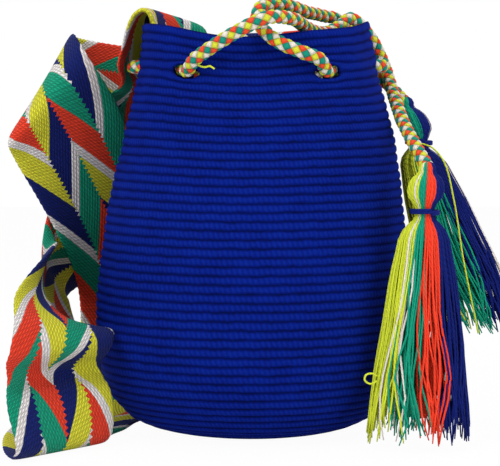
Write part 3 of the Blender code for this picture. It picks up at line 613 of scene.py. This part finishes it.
def woven_bands(settings):
    """Warp-faced cotton band: chevrons of slanting floats, with jagged joins between zones."""
    material, tree, shader = cloth_material("woven_cotton_band", 0.88, 0.15, 0.03)
    zone_width = STRAP_WIDTH / MM / ZONE_COUNT
    period = sum(width for width, _ in BANDS)
    u, v = weave_place(tree)
    # Joins between the zones are jagged: the teeth are a triangle wave, to either side.
    tooth = add_node(tree, MATH, {0: v, 1: TOOTH_LENGTH}, operation="PINGPONG")
    tooth = add_node(tree, MATH, {0: tooth, 1: TOOTH_DEPTH, 2: -TOOTH_DEPTH},
                     operation="MULTIPLY_ADD")
    across = add_node(tree, MATH, {0: u, 1: tooth}, operation="ADD")
    zone = add_node(tree, MATH, {0: across, 1: zone_width}, operation="DIVIDE")
    zone = add_node(tree, MATH, {0: zone}, operation="FLOOR")
    zone = add_node(tree, "ShaderNodeClamp", {0: zone, 1: 0.0, 2: ZONE_COUNT - 1.0})
    odd = add_node(tree, MATH, {0: zone, 1: 2.0}, operation="MODULO")
    pair = add_node(tree, MATH, {0: zone, 1: 1.5}, operation="GREATER_THAN")
    slant = add_node(tree, MATH, {0: odd, 1: 2 * BAND_SLOPE, 2: -BAND_SLOPE},
                     operation="MULTIPLY_ADD")
    centre = add_node(tree, MATH, {0: zone, 1: -zone_width, 2: u}, operation="MULTIPLY_ADD")
    centred = add_node(tree, MATH, {0: centre, 1: 0.5 * zone_width}, operation="SUBTRACT")
    along = add_node(tree, MATH, {0: slant, 1: centred, 2: v}, operation="MULTIPLY_ADD")
    # The zones start 2, 3, 1 and 0 quarters of a repeat on: 2 - pair + odd * (1 - 2 * pair).
    turned = add_node(tree, MATH, {0: pair, 1: -2.0, 2: 1.0}, operation="MULTIPLY_ADD")
    ahead = add_node(tree, MATH, {0: 2.0, 1: pair}, operation="SUBTRACT")
    ahead = add_node(tree, MATH, {0: odd, 1: turned, 2: ahead}, operation="MULTIPLY_ADD")
    shift = add_node(tree, MATH, {0: ahead, 1: 0.25 * period, 2: BAND_PHASE + period},
                     operation="MULTIPLY_ADD")
    phase = add_node(tree, MATH, {0: along, 1: shift}, operation="ADD")
    # Yarns run with the bands. Each float is one yarn wide, the next yarn's is a third of a
    # float back, and its ends are cut aslant, so the surface is one of slanting strokes.
    steep = math.hypot(1.0, BAND_SLOPE)
    pitch = steep * settings.yarn_pitch / MM
    course = add_node(tree, MATH, {0: phase, 1: pitch}, operation="DIVIDE")
    number = add_node(tree, MATH, {0: course}, operation="FLOOR")
    run = add_node(tree, MATH, {0: slant, 1: v}, operation="MULTIPLY")
    run = add_node(tree, MATH, {0: centred, 1: run}, operation="SUBTRACT")
    run = add_node(tree, MATH, {0: run, 1: steep * settings.float_length / MM},
                   operation="DIVIDE")
    run = add_node(tree, MATH, {0: number, 1: -0.35, 2: run}, operation="MULTIPLY_ADD")
    run = add_node(tree, MATH, {0: course, 1: 0.85, 2: run}, operation="MULTIPLY_ADD")
    rib = add_node(tree, MATH, {0: course, 1: 0.5}, operation="PINGPONG")
    rib = add_node(tree, MATH, {0: rib, 1: 2.4}, operation="MULTIPLY", use_clamp=True)
    gap = add_node(tree, MATH, {0: run, 1: 0.5}, operation="PINGPONG")
    gap = add_node(tree, MATH, {0: gap, 1: 4.0}, operation="MULTIPLY", use_clamp=True)
    loft = add_node(tree, MATH, {0: rib, 1: gap}, operation="MULTIPLY")
    # A band changes colour only at the edge of a whole yarn.
    whole = add_node(tree, MATH, {0: number, 1: 0.5}, operation="ADD")
    whole = add_node(tree, MATH, {0: whole, 1: pitch}, operation="MULTIPLY")
    repeat = add_node(tree, MATH, {0: whole, 1: period}, operation="FLOORED_MODULO")
    repeat = add_node(tree, MATH, {0: repeat, 1: period}, operation="DIVIDE")
    ramp = add_node(tree, "ShaderNodeValToRGB", {0: repeat})
    band = ramp.node.color_ramp
    band.interpolation = "CONSTANT"
    edge = 0.0
    for index, (width, name) in enumerate(BANDS):
        stop = band.elements[0] if index == 0 else band.elements.new(edge / period)
        stop.color = (*getattr(settings, name), 1.0)
        edge += width
    # The ramp comes with two stops, and the second one is still the last.
    band.elements[-1].color = (*getattr(settings, BANDS[-1][1]), 1.0)
    # Each float is a little lighter or darker than its neighbours.
    float_number = add_node(tree, MATH, {0: run}, operation="FLOOR")
    label = add_node(tree, "ShaderNodeCombineXYZ", {0: number, 1: float_number})
    tint = add_node(tree, "ShaderNodeTexWhiteNoise", {0: label}, noise_dimensions="3D")
    light = add_node(tree, MATH, {0: tint, 1: 0.10, 2: 0.46}, operation="MULTIPLY_ADD")
    # Painted shade: the loft term darkens the gaps between yarns and between floats, with a
    # painted highlight on each float's crest.
    light = add_node(tree, MATH, {0: loft, 1: 0.50, 2: light}, operation="MULTIPLY_ADD")
    base = lit_yarn(tree, ramp, light)
    # Fibres of about 0.9 mm, coarser than real ones so that they show.
    place = add_node(tree, "ShaderNodeTexCoord", out=3)
    fibre = add_node(tree, "ShaderNodeTexNoise", {"Vector": place, "Scale": 1100.0, "Detail": 2.0})
    height = add_node(tree, MATH, {0: fibre, 1: 0.25, 2: loft}, operation="MULTIPLY_ADD")
    shade(tree, shader, base, height, 0.7 * MM, 0.9)
    return material


def braided_cotton(settings):
    """Round braid of four yarns: two run each way and pass over each other in diamonds."""
    material, tree, shader = cloth_material("braided_cotton", 0.88, 0.15, 0.03)
    u, v = weave_place(tree)
    one = add_node(tree, MATH, {0: u, 1: v}, operation="ADD")
    two = add_node(tree, MATH, {0: u, 1: v}, operation="SUBTRACT")
    first = add_node(tree, MATH, {0: one}, operation="FLOOR")
    second = add_node(tree, MATH, {0: two}, operation="FLOOR")
    both = add_node(tree, MATH, {0: first, 1: second}, operation="ADD")
    over = add_node(tree, MATH, {0: both, 1: 2.0}, operation="FLOORED_MODULO")
    pick = add_node(tree, MATH, {0: first, 1: 2.0}, operation="FLOORED_MODULO")
    other = add_node(tree, MATH, {0: second, 1: 2.0}, operation="FLOORED_MODULO")
    warm = add_node(tree, "ShaderNodeMix", {0: pick, 6: (*settings.orange, 1.0),
                                            7: (*settings.white, 1.0)}, out=2, data_type="RGBA")
    cool = add_node(tree, "ShaderNodeMix", {0: other, 6: (*settings.green, 1.0),
                                            7: (*settings.yellow, 1.0)}, out=2, data_type="RGBA")
    yarn = add_node(tree, "ShaderNodeMix", {0: over, 6: warm, 7: cool}, out=2, data_type="RGBA")
    rise = add_node(tree, MATH, {0: one, 1: 0.5}, operation="PINGPONG")
    fall = add_node(tree, MATH, {0: two, 1: 0.5}, operation="PINGPONG")
    loft = add_node(tree, MATH, {0: rise, 1: fall}, operation="MINIMUM")
    loft = add_node(tree, MATH, {0: loft, 1: 4.0}, operation="MULTIPLY", use_clamp=True)
    # Plies run along the cord, five to a yarn, which is 1.4 mm apart on a cord of 9 mm.
    ply = add_node(tree, MATH, {0: u, 1: 5.0}, operation="MULTIPLY")
    ply = add_node(tree, MATH, {0: ply, 1: 0.5}, operation="PINGPONG")
    # Painted shade: the light falls between the crossings and between the plies, with a painted
    # highlight on their crests.
    light = add_node(tree, MATH, {0: loft, 1: 0.35, 2: 0.50}, operation="MULTIPLY_ADD")
    light = add_node(tree, MATH, {0: ply, 1: 0.2, 2: light}, operation="MULTIPLY_ADD")
    height = add_node(tree, MATH, {0: ply, 1: 0.5, 2: loft}, operation="MULTIPLY_ADD")
    shade(tree, shader, lit_yarn(tree, yarn, light), height, 0.7 * MM, 0.8)
    return material


def plied_yarn(name, tint):
    """Two-ply cotton yarn: a spiral of two plies with painted shade where they meet, each strand a
    tone of its own.
    """
    material, tree, shader = cloth_material(name, 0.85, 0.15, 0.01)
    u, v = weave_place(tree)
    twist = add_node(tree, MATH, {0: u, 1: 2.0, 2: v}, operation="MULTIPLY_ADD")
    ply = add_node(tree, MATH, {0: twist, 1: 0.5}, operation="PINGPONG")
    ply = add_node(tree, MATH, {0: ply, 1: 2.6}, operation="MULTIPLY", use_clamp=True)
    tone = add_node(tree, "ShaderNodeAttribute", out=2, attribute_name="tone")
    light = add_node(tree, MATH, {0: tone, 1: 0.22, 2: 0.64}, operation="MULTIPLY_ADD")
    # Painted shade: the light drops where the two plies meet and rises to a painted highlight on
    # each ply.
    light = add_node(tree, MATH, {0: ply, 1: 0.22, 2: light}, operation="MULTIPLY_ADD")
    shade(tree, shader, lit_yarn(tree, (*tint, 1.0), light), ply, 0.35 * MM, 0.8)
    return material


def body_surface(settings):
    """Crocheted body as one grid from the middle of the base up to the rim.

    A profile by arc length is turned round: radius and height at each arc, moved out along the
    profile's normal by relief * (sqrt(|sin(pi * round)|) - 1 + standing), where standing grows
    from 0 on the floor to 1, and then shaped as the CAD body is.
    Round each eyelet a point at share r of its ellipse moves to (r^power + 1)^(1 / power).
    """
    heights = np.linspace(0.0, BODY_HEIGHT, PROFILE_SAMPLES)
    radii = read_curve(BODY_OUTLINE, heights)
    inner = np.linspace(0.0, radii[0], BASE_SAMPLES, endpoint=False)
    radii = np.concatenate([inner, radii])
    heights = np.concatenate([np.zeros(BASE_SAMPLES), heights])
    arc = np.concatenate([[0.0], np.cumsum(np.hypot(np.diff(radii), np.diff(heights)))])
    rounds = int(round(arc[-1] / settings.row_pitch))
    place = np.linspace(0.0, arc[-1], rounds * ROWS_PER_ROUND + 1)
    place[0] = POLE_RADIUS
    radius, height = np.interp(place, arc, radii), np.interp(place, arc, heights)
    slope_r, slope_h = np.gradient(radius), np.gradient(height)
    size = np.hypot(slope_r, slope_h)
    rows = place / arc[-1] * rounds
    wave = np.sqrt(np.abs(np.sin(math.pi * rows)))
    standing = np.clip(height / STANDING_HEIGHT, 0.0, 1.0)
    out = settings.relief * (wave - 1.0 + standing)
    radius = np.maximum(radius + out * slope_h / size, POLE_RADIUS)
    height = np.maximum(height - out * slope_r / size, 0.0)
    angle = np.arange(settings.columns) / settings.columns * math.tau
    radius, angle = np.meshgrid(radius, angle, indexing="ij")
    height = np.repeat(height[:, None], settings.columns, axis=1)
    # Uneven hand work: small slow swellings along and across the rounds.
    uneven = np.sin(9 * angle + rows[:, None] * 0.9) * np.sin(rows[:, None] * 0.37 + 2 * angle)
    radius = radius + UNEVENNESS * uneven * np.clip(height / UNEVEN_HEIGHT, 0.0, 1.0)
    nearest = np.full(radius.shape, np.inf)
    for number in range(EYELET_COUNT):
        hole = math.radians(EYELET_FIRST_ANGLE + number * EYELET_SPACING)
        turn = np.mod(angle - hole + math.pi, math.tau) - math.pi
        around = turn * EYELET_WALL_RADIUS / (0.5 * EYELET_WIDTH)
        rise = (height - EYELET_HEIGHT + CORD_DROP) / (0.5 * EYELET_RISE)
        share = np.maximum(np.hypot(around, rise), 1e-6)
        nearest = np.minimum(nearest, share)
        parted = (share**EYELET_POWER + 1.0) ** (1.0 / EYELET_POWER) / share
        push = np.where(share < EYELET_REACH, parted, 1.0)
        fade = np.clip((EYELET_REACH - share) / (0.5 * EYELET_REACH), 0.0, 1.0)
        push = 1.0 + (push - 1.0) * fade
        angle = hole + turn * push
        lifted = EYELET_HEIGHT - CORD_DROP + rise * push * 0.5 * EYELET_RISE
        height = np.where(share < EYELET_REACH, lifted, height)
    points = shape_body(radius, angle, height)
    stitches = round(math.tau * BELLY_RADIUS / settings.stitch_width)
    uv = grid_uv(np.arange(settings.columns + 1) / settings.columns * stitches, rows)
    after = np.roll(nearest, -1, axis=1)
    middle = 0.25 * (nearest + after)[:-1] + 0.25 * (nearest + after)[1:]
    return points[None], uv[None], (middle > EYELET_CUT).ravel()


def strap_on_wall(angle, height, outward):
    """Left edge, middle and right edge of the strap where it follows the neck's wall."""
    radius = float(read_curve(BODY_OUTLINE, height)) * math.sqrt(depth_ratio(height)) + outward
    half = math.degrees(0.5 * STRAP_WIDTH / radius)
    turns = (half, 0.0, -half)
    return [wall_place(math.radians(angle + turn), height, outward) for turn in turns]


def strap_guides():
    """Finely spaced left edge, middle and right edge of the strap, as in the CAD strap."""
    sewn = -0.5 * (BODY_WALL + STRAP_THICKNESS) - STRAP_CLEARANCE
    sections = [strap_on_wall(BACK_END_ANGLE, height * MM, sewn) for height in SEWN_HEIGHTS]
    sections += [strap_on_wall(BACK_END_ANGLE, h * MM, out * MM) for out, h in BACK_END_PATH]
    for place, across, *pinch in STRAP_STATIONS:
        spread, bulge = pinch or (1.0, (0.0, 0.0, 0.0))
        middle = np.array(place) * MM
        half = 0.5 * spread * STRAP_WIDTH * np.array(across) / np.linalg.norm(across)
        sections.append([middle - half, middle + np.array(bulge) * MM, middle + half])
    sections += [strap_on_wall(LEFT_END_ANGLE, h * MM, out * MM) for out, h in LEFT_END_PATH]
    sections += [strap_on_wall(LEFT_END_ANGLE, h * MM, sewn) for h in SEWN_HEIGHTS[::-1]]
    sections = np.array(sections)
    rows = np.concatenate([sections[:, 1], sections[:, 0], sections[:, 2]], axis=1)
    fine = spline_through(rows, FINE_STEP)
    return fine[:, 3:6], fine[:, 0:3], fine[:, 6:9]


def strap_surface():
    """Woven strap: a flat oval section carried along its three guides.

    Across is t from -1 to 1: middle + half * t + bend * t^2. The two faces stand off along the
    cross product of across and along by half the thickness times (1 - t^10)^0.5.
    """
    left, middle, right = (guide[::STRAP_STEP] for guide in strap_guides())
    travelled = np.arange(len(middle)) * STRAP_STEP * FINE_STEP / MM
    # The columns stand a little closer towards the edges.
    even = np.linspace(-1.0, 1.0, STRAP_COLUMNS)
    t = 0.35 * np.sin(0.5 * math.pi * even) + 0.65 * even
    half, bend = 0.5 * (right - left), 0.5 * (left + right) - middle
    scallop = np.sin(travelled * math.tau / SCALLOP_LENGTH)[:, None, None]
    scallop = 1.0 + SCALLOP_SHARE * scallop
    sheet = middle[:, None] + half[:, None] * t[:, None] * scallop + bend[:, None] * t[:, None]**2
    across = half[:, None] + 2 * bend[:, None] * t[:, None]
    along = np.gradient(sheet, axis=0)
    away = unit(np.cross(across, along))
    thick = 0.5 * STRAP_THICKNESS * np.sqrt(np.clip(1.0 - np.abs(t) ** 10, 0.0, 1.0))
    upper = sheet + away * thick[:, None]
    lower = sheet - away * thick[:, None]
    points = np.concatenate([upper, lower[:, -2:0:-1]], axis=1)
    wide = (t + 1.0) * 0.5 * STRAP_WIDTH / MM
    loop = np.concatenate([wide, wide[-2:0:-1], wide[:1]])
    return points[None], grid_uv(loop, travelled)[None]


def drawstring_path():
    """Route of the drawstring: from the front tassel, through the eyelets, to the rear one."""
    aside = 0.5 * (BODY_WALL + CORD_DIAMETER) + CORD_CLEARANCE
    places = []
    for number in range(EYELET_COUNT):
        hole = EYELET_FIRST_ANGLE + number * EYELET_SPACING
        before = -1 if number % 2 else 1
        for turn, share in ((CROSSING_ANGLE, before), (0.0, 0), (-CROSSING_ANGLE, -before)):
            if 0 < number or share <= 0:
                places.append((hole + turn, share))
        if number < EYELET_COUNT - 1:
            places.append((hole + SPAN_SHARE * EYELET_SPACING, -before))
            places.append((hole + (1.0 - SPAN_SHARE) * EYELET_SPACING, -before))
    del places[-1]
    route = [np.array(place) * MM for place in LEFT_RUN]
    for angle, share in places:
        offset = share * aside + max(share, 0) * RIDGE_HEIGHT
        route.append(wall_place(math.radians(angle), EYELET_HEIGHT - CORD_DROP, offset))
    route += [np.array(place) * MM for place in RIGHT_RUN]
    return spline_through(route, FINE_STEP)


def tassel_centre(places, depth):
    """Centre of a tassel at a depth: top to neck, straight through the tie, neck to end."""
    top, neck, end = np.array(places) * MM
    head = np.clip(depth / (NECK_PLACE - NECK_HALF), 0.0, 1.0)[..., None]
    skirt = (depth - NECK_PLACE - NECK_HALF) / (TASSEL_LENGTH - NECK_PLACE - NECK_HALF)
    centre = top + (neck - top) * head + (end - neck) * np.maximum(skirt, 0.0)[..., None]
    down = np.minimum(depth / NECK_PLACE, 1.0)
    past = np.maximum((depth - NECK_PLACE) / (TASSEL_LENGTH - NECK_PLACE), 0.0)
    centre[..., 2] = top[2] + (neck[2] - top[2]) * down + (end[2] - neck[2]) * past
    return centre


def tassel_strands(settings, places, shares, seed):
    """Strands of one tassel and the index of each one's colour.

    A strand keeps its share and angle of the tassel's oval section, which grows with the depth,
    and waves a little; its tube is centre + width * (side cos + up sin).
    """
    chance = np.random.default_rng(seed)
    count = settings.strands
    outer = int(OUTER_STRANDS * count)
    turn = np.concatenate([np.arange(outer) / outer, chance.random(count - outer)]) * math.tau
    turn = turn + chance.normal(0.0, 0.025, count)
    share = np.concatenate([chance.uniform(0.90, 1.0, outer),
                            chance.uniform(0.3, INNER_EDGE, count - outer)])
    # No two strands are cut to one length, and the inner ones are 3 mm shorter.
    base = np.array(STRAND_DEPTHS, dtype=float)
    tie_end = NECK_PLACE + NECK_HALF
    reach = TASSEL_LENGTH + chance.uniform(-12.0, 4.0, count) - 3.0 * (share < INNER_EDGE)
    stretch = ((reach - tie_end) / (TASSEL_LENGTH - tie_end))[:, None]
    depth = np.where(base > tie_end, tie_end + (base - tie_end) * stretch, base)
    width = read_curve([row[:2] for row in TASSEL_OUTLINE], depth * MM)
    thick = read_curve([(row[0], row[2]) for row in TASSEL_OUTLINE], depth * MM)
    width, thick = np.maximum(width, WRAP_RADIUS), np.maximum(thick, WRAP_RADIUS)
    tight = np.clip((depth + 9.0) / 4.5, 0.35, 1.0)
    # Below the tie the strands wave each on its own, and drift a little in locks.
    skirt = np.clip((depth - tie_end) / (TASSEL_LENGTH - tie_end), 0.0, 1.1)
    wobble = 0.22 * skirt * np.sin(depth / chance.uniform(9, 26, count)[:, None]
                                   + chance.uniform(0, math.tau, count)[:, None])
    swing = turn[:, None] + wobble * chance.uniform(0.2, 1.0, count)[:, None]
    swing = swing + 0.13 * skirt * np.sin(3 * turn[:, None] + depth / 26.0)
    radius = 0.5 * settings.strand_width
    inset = share[:, None] * tight
    path = tassel_centre(places, depth)
    path[..., 0] += (width * inset - radius) * np.cos(swing)
    path[..., 1] += (thick * inset - radius) * np.sin(swing)
    along = unit(np.gradient(path, axis=1))
    hint = np.stack([-np.sin(swing), np.cos(swing), np.zeros_like(swing)], axis=-1)
    up = unit(hint - along * np.sum(hint * along, axis=-1, keepdims=True))
    side = np.cross(up, along)
    # Strands are squeezed under the tie, and thin at their ends.
    slim = np.where((depth > 18) & (depth < 33), 0.75, 1.0)
    slim[:, 0] = 0.5
    slim[:, -1] = 0.6
    around = np.arange(STRAND_SIDES) / STRAND_SIDES * math.tau
    ring = side[:, :, None] * np.cos(around)[:, None] + up[:, :, None] * np.sin(around)[:, None]
    points = path[:, :, None] + (radius * slim)[..., None, None] * ring
    points[..., 2] = np.maximum(points[..., 2], 0.3 * MM)
    twist = depth / PLY_LENGTH + chance.random(count)[:, None]
    uv = grid_uv(np.arange(STRAND_SIDES + 1) / STRAND_SIDES, twist)
    limits = np.array([limit for limit, _ in shares])
    spread = share * np.cos(turn) + chance.normal(0.0, 0.10, count)
    kind = np.clip(np.searchsorted(limits, spread), 0, len(shares) - 1)
    return points, uv, kind, chance.random(count)


def tie_path(places):
    """Helix of a few turns round a tassel's neck: centre + radius (cos, sin) + rise * share."""
    centre = np.array(places[1]) * MM
    radius = (NECK_RADIUS + TIE_STANDOFF) * MM
    share = np.linspace(0.0, 1.0, TIE_TURNS * 30 + 1)
    angle = share * TIE_TURNS * math.tau - 1.2
    return centre + np.stack([radius * np.cos(angle), radius * np.sin(angle),
                              (share - 0.5) * TIE_RISE], axis=1)


class MOCHILA_OT_stage(bpy.types.Operator):
    """Set the camera, the floor and the lights."""

    bl_idname = "mochila.stage"
    bl_label = "Stage"

    def execute(self, context):
        settings = context.scene.mochila_stage
        scene = context.scene
        camera = bpy.data.objects.new("camera", bpy.data.cameras.new("camera"))
        camera.data.lens = CAMERA_LENS
        camera.data.sensor_width = SENSOR_WIDTH
        camera.data.sensor_fit = "HORIZONTAL"
        camera.location = CAMERA_PLACE
        camera.rotation_euler = (math.radians(90 - CAMERA_DIP), 0.0, 0.0)
        scene.collection.objects.link(camera)
        scene.camera = camera
        scene.view_settings.view_transform = "Standard"
        lights = (("key", settings.key_power, KEY_PLACE),
                  ("fill", settings.fill_power, FILL_PLACE),
                  ("top", 0.5 * settings.key_power, TOP_PLACE))
        for name, power, place in lights:
            lamp = bpy.data.lights.new(name, "AREA")
            lamp.energy = power
            lamp.size = LAMP_SIZE
            light = bpy.data.objects.new(name, lamp)
            aim = np.array(LAMP_AIM) - np.array(place)
            flat = math.hypot(aim[0], aim[1])
            light.location = place
            light.rotation_euler = (math.atan2(flat, -aim[2]), 0.0,
                                    math.atan2(aim[1], aim[0]) - 0.5 * math.pi)
            scene.collection.objects.link(light)
        self.make_sky(scene, settings)
        self.make_floor(scene, settings)
        return {"FINISHED"}

    def seen(self, tree):
        """1 for rays that show the background: from the camera, by gloss or through glass."""
        ray = add_node(tree, "ShaderNodeLightPath").node.outputs
        gloss = add_node(tree, MATH, {0: ray["Is Camera Ray"], 1: ray["Is Glossy Ray"]},
                         operation="MAXIMUM")
        return add_node(tree, MATH, {0: gloss, 1: ray["Is Transmission Ray"]},
                        operation="MAXIMUM")

    def make_sky(self, scene, settings):
        """Even white light, and a white background where it is seen."""
        world = bpy.data.worlds.new("white_sky")
        world.use_nodes = True
        scene.world = world
        tree = world.node_tree
        level = add_node(tree, MATH, {0: self.seen(tree), 1: 1.0 - settings.sky, 2: settings.sky},
                         operation="MULTIPLY_ADD")
        back = tree.nodes["Background"]
        back.inputs["Color"].default_value = (1.0, 1.0, 1.0, 1.0)
        tree.links.new(level, back.inputs["Strength"])

    def make_floor(self, scene, settings):
        """Pale matte paper, shown mostly white but with the bag's soft shadow on it."""
        material = bpy.data.materials.new("matte_paper")
        material.use_nodes = True
        tree = material.node_tree
        shader = tree.nodes["Principled BSDF"]
        shader.inputs["Base Color"].default_value = (*settings.floor, 1.0)
        shader.inputs["Roughness"].default_value = 0.9
        shader.inputs["Specular IOR Level"].default_value = 0.0
        glow = add_node(tree, "ShaderNodeEmission", {"Color": (1.0, 1.0, 1.0, 1.0)})
        share = add_node(tree, MATH, {0: self.seen(tree), 1: FLOOR_GLOW}, operation="MULTIPLY")
        blend = add_node(tree, "ShaderNodeMixShader", {0: share, 1: shader.outputs[0], 2: glow})
        tree.links.new(blend, tree.nodes["Material Output"].inputs["Surface"])
        mesh = bpy.data.meshes.new("floor")
        corners = [(x * FLOOR_HALF, y * FLOOR_HALF, 0)
                   for x, y in ((-1, -1), (1, -1), (1, 1), (-1, 1))]
        mesh.from_pydata(corners, [], [(0, 1, 2, 3)])
        floor = bpy.data.objects.new("floor", mesh)
        mesh.materials.append(material)
        scene.collection.objects.link(floor)


class MOCHILA_OT_drawstring(bpy.types.Operator):
    """Make the braided drawstring and the wraps that bind the tassels' necks."""

    bl_idname = "mochila.drawstring"
    bl_label = "Drawstring"

    def execute(self, context):
        settings = context.scene.mochila_cord
        yarns = context.scene.mochila_tassels
        path = drawstring_path()
        around = np.arange(BRAID_SIDES + 1) / BRAID_SIDES * BRAID_YARNS
        tiles = np.arange(len(path)) * FINE_STEP / settings.tile
        # Each crossing stands proud as a diamond of the two directions of yarn.
        one = np.abs(np.sin(math.pi * (around[None, :] + tiles[:, None])))
        two = np.abs(np.sin(math.pi * (around[None, :] - tiles[:, None])))
        loft = np.minimum(one, two)[:, :BRAID_SIDES]
        radius = 0.5 * CORD_DIAMETER - BRAID_DIP + BRAID_RELIEF * np.sqrt(loft)
        radius[[0, -1]] *= 0.5
        points = tube_points(path, radius, BRAID_SIDES)
        uv = grid_uv(around, tiles)
        mesh = sheets_mesh("drawstring_braid", points[None], uv[None], True, True)
        cord = add_piece("drawstring_braid", mesh, braided_cotton(settings), "cord_braid",
                         "drawstring")
        navy = plied_yarn("navy_binding_yarn", yarns.blue)
        for label, places in (("front", FRONT_TASSEL), ("rear", REAR_TASSEL)):
            title = f"{label}_binding"
            mesh = yarn_mesh(title, tie_path(places), TIE_RADIUS, TIE_SIDES, TIE_TWIST, 0.5)
            add_piece(title, mesh, navy, "blue_yarn", f"{label}_tassel_tie")
        return {"FINISHED"}


class MOCHILA_OT_body(bpy.types.Operator):
    """Make the crocheted body."""

    bl_idname = "mochila.body"
    bl_label = "Crocheted body"

    def execute(self, context):
        settings = context.scene.mochila_body
        points, uv, keep = body_surface(settings)
        mesh = sheets_mesh("crocheted_body", points, uv, True, False, keep)
        body = add_piece("crocheted_body", mesh, crocheted_cotton(settings), "body_yarn",
                         "bag_body")
        wall = body.modifiers.new("wall", "SOLIDIFY")
        wall.thickness = BODY_WALL
        wall.offset = -1.0
        return {"FINISHED"}


class MOCHILA_OT_strap(bpy.types.Operator):
    """Make the woven strap."""

    bl_idname = "mochila.strap"
    bl_label = "Woven strap"

    def execute(self, context):
        points, uv = strap_surface()
        mesh = sheets_mesh("woven_strap", points, uv, True, True)
        strap = add_piece("woven_strap", mesh, woven_bands(context.scene.mochila_strap),
                          "strap_weave", "strap")
        return {"FINISHED"}


class MOCHILA_OT_tassels(bpy.types.Operator):
    """Make the strands of both tassels, one piece for each colour of yarn."""

    bl_idname = "mochila.tassels"
    bl_label = "Tassels"

    def execute(self, context):
        settings = context.scene.mochila_tassels
        names = {"yellow": "lime", "green": "teal", "orange": "orange", "blue": "navy",
                 "white": "white"}
        yarns = {key: plied_yarn(f"{name}_cotton_yarn", getattr(settings, key))
                 for key, name in names.items()}
        for title, key, places in LOOSE_THREADS:
            path = spline_through(np.array(places) * MM, FINE_STEP)
            twist = FINE_STEP / MM / PLY_LENGTH
            mesh = yarn_mesh(title, path, 0.45 * settings.strand_width, THREAD_SIDES, twist, 0.7)
            add_piece(title, mesh, yarns[key], f"{key}_yarn")
        groups = (("front", FRONT_TASSEL, FRONT_SHARES, 11),
                  ("rear", REAR_TASSEL, REAR_SHARES, 23))
        for label, places, shares, seed in groups:
            points, uv, kind, tone = tassel_strands(settings, places, shares, seed)
            for index, (_, key) in enumerate(shares):
                chosen = kind == index
                if not chosen.any():
                    raise RuntimeError(f"no {key} strands in the {label} tassel")
                title = f"{label}_{names[key]}_strands"
                mesh = sheets_mesh(title, points[chosen], uv[chosen], True, True,
                                   tone=tone[chosen])
                # The few white strands have no CAD solid of their own.
                nodes = [] if key == "white" else [f"{label}_tassel_{key}_yarn"]
                slot = "cord_braid" if key == "white" else f"{key}_yarn"
                add_piece(title, mesh, yarns[key], slot, *nodes)
        return {"FINISHED"}


class MOCHILA_PT_panel(bpy.types.Panel):
    """Lists the bag's pieces."""

    bl_label = "Mochila bag"
    bl_idname = "MOCHILA_PT_panel"
    bl_space_type = "VIEW_3D"
    bl_region_type = "UI"
    bl_category = "Mochila"

    def draw(self, context):
        for operator in OPERATORS:
            self.layout.operator(operator.bl_idname)


OPERATORS = (MOCHILA_OT_stage, MOCHILA_OT_drawstring, MOCHILA_OT_body, MOCHILA_OT_strap,
             MOCHILA_OT_tassels)
SETTINGS = {"mochila_body": MochilaBodySettings, "mochila_strap": MochilaStrapSettings,
            "mochila_cord": MochilaCordSettings, "mochila_tassels": MochilaTasselSettings,
            "mochila_stage": MochilaStageSettings}


def register():
    """Register the settings, the operators and the panel."""
    for name, group in SETTINGS.items():
        bpy.utils.register_class(group)
        setattr(bpy.types.Scene, name, PointerProperty(type=group))
    for kind in (*OPERATORS, MOCHILA_PT_panel):
        bpy.utils.register_class(kind)


def unregister():
    """Remove the panel, the operators and the settings."""
    for kind in (MOCHILA_PT_panel, *OPERATORS[::-1]):
        bpy.utils.unregister_class(kind)
    for name, group in SETTINGS.items():
        delattr(bpy.types.Scene, name)
        bpy.utils.unregister_class(group)


def main():
    """Register the add-on's classes and make every piece."""
    register()
    bpy.ops.mochila.stage()
    bpy.ops.mochila.drawstring()
    bpy.ops.mochila.body()
    bpy.ops.mochila.strap()
    bpy.ops.mochila.tassels()


if __name__ == "__main__":
    main()
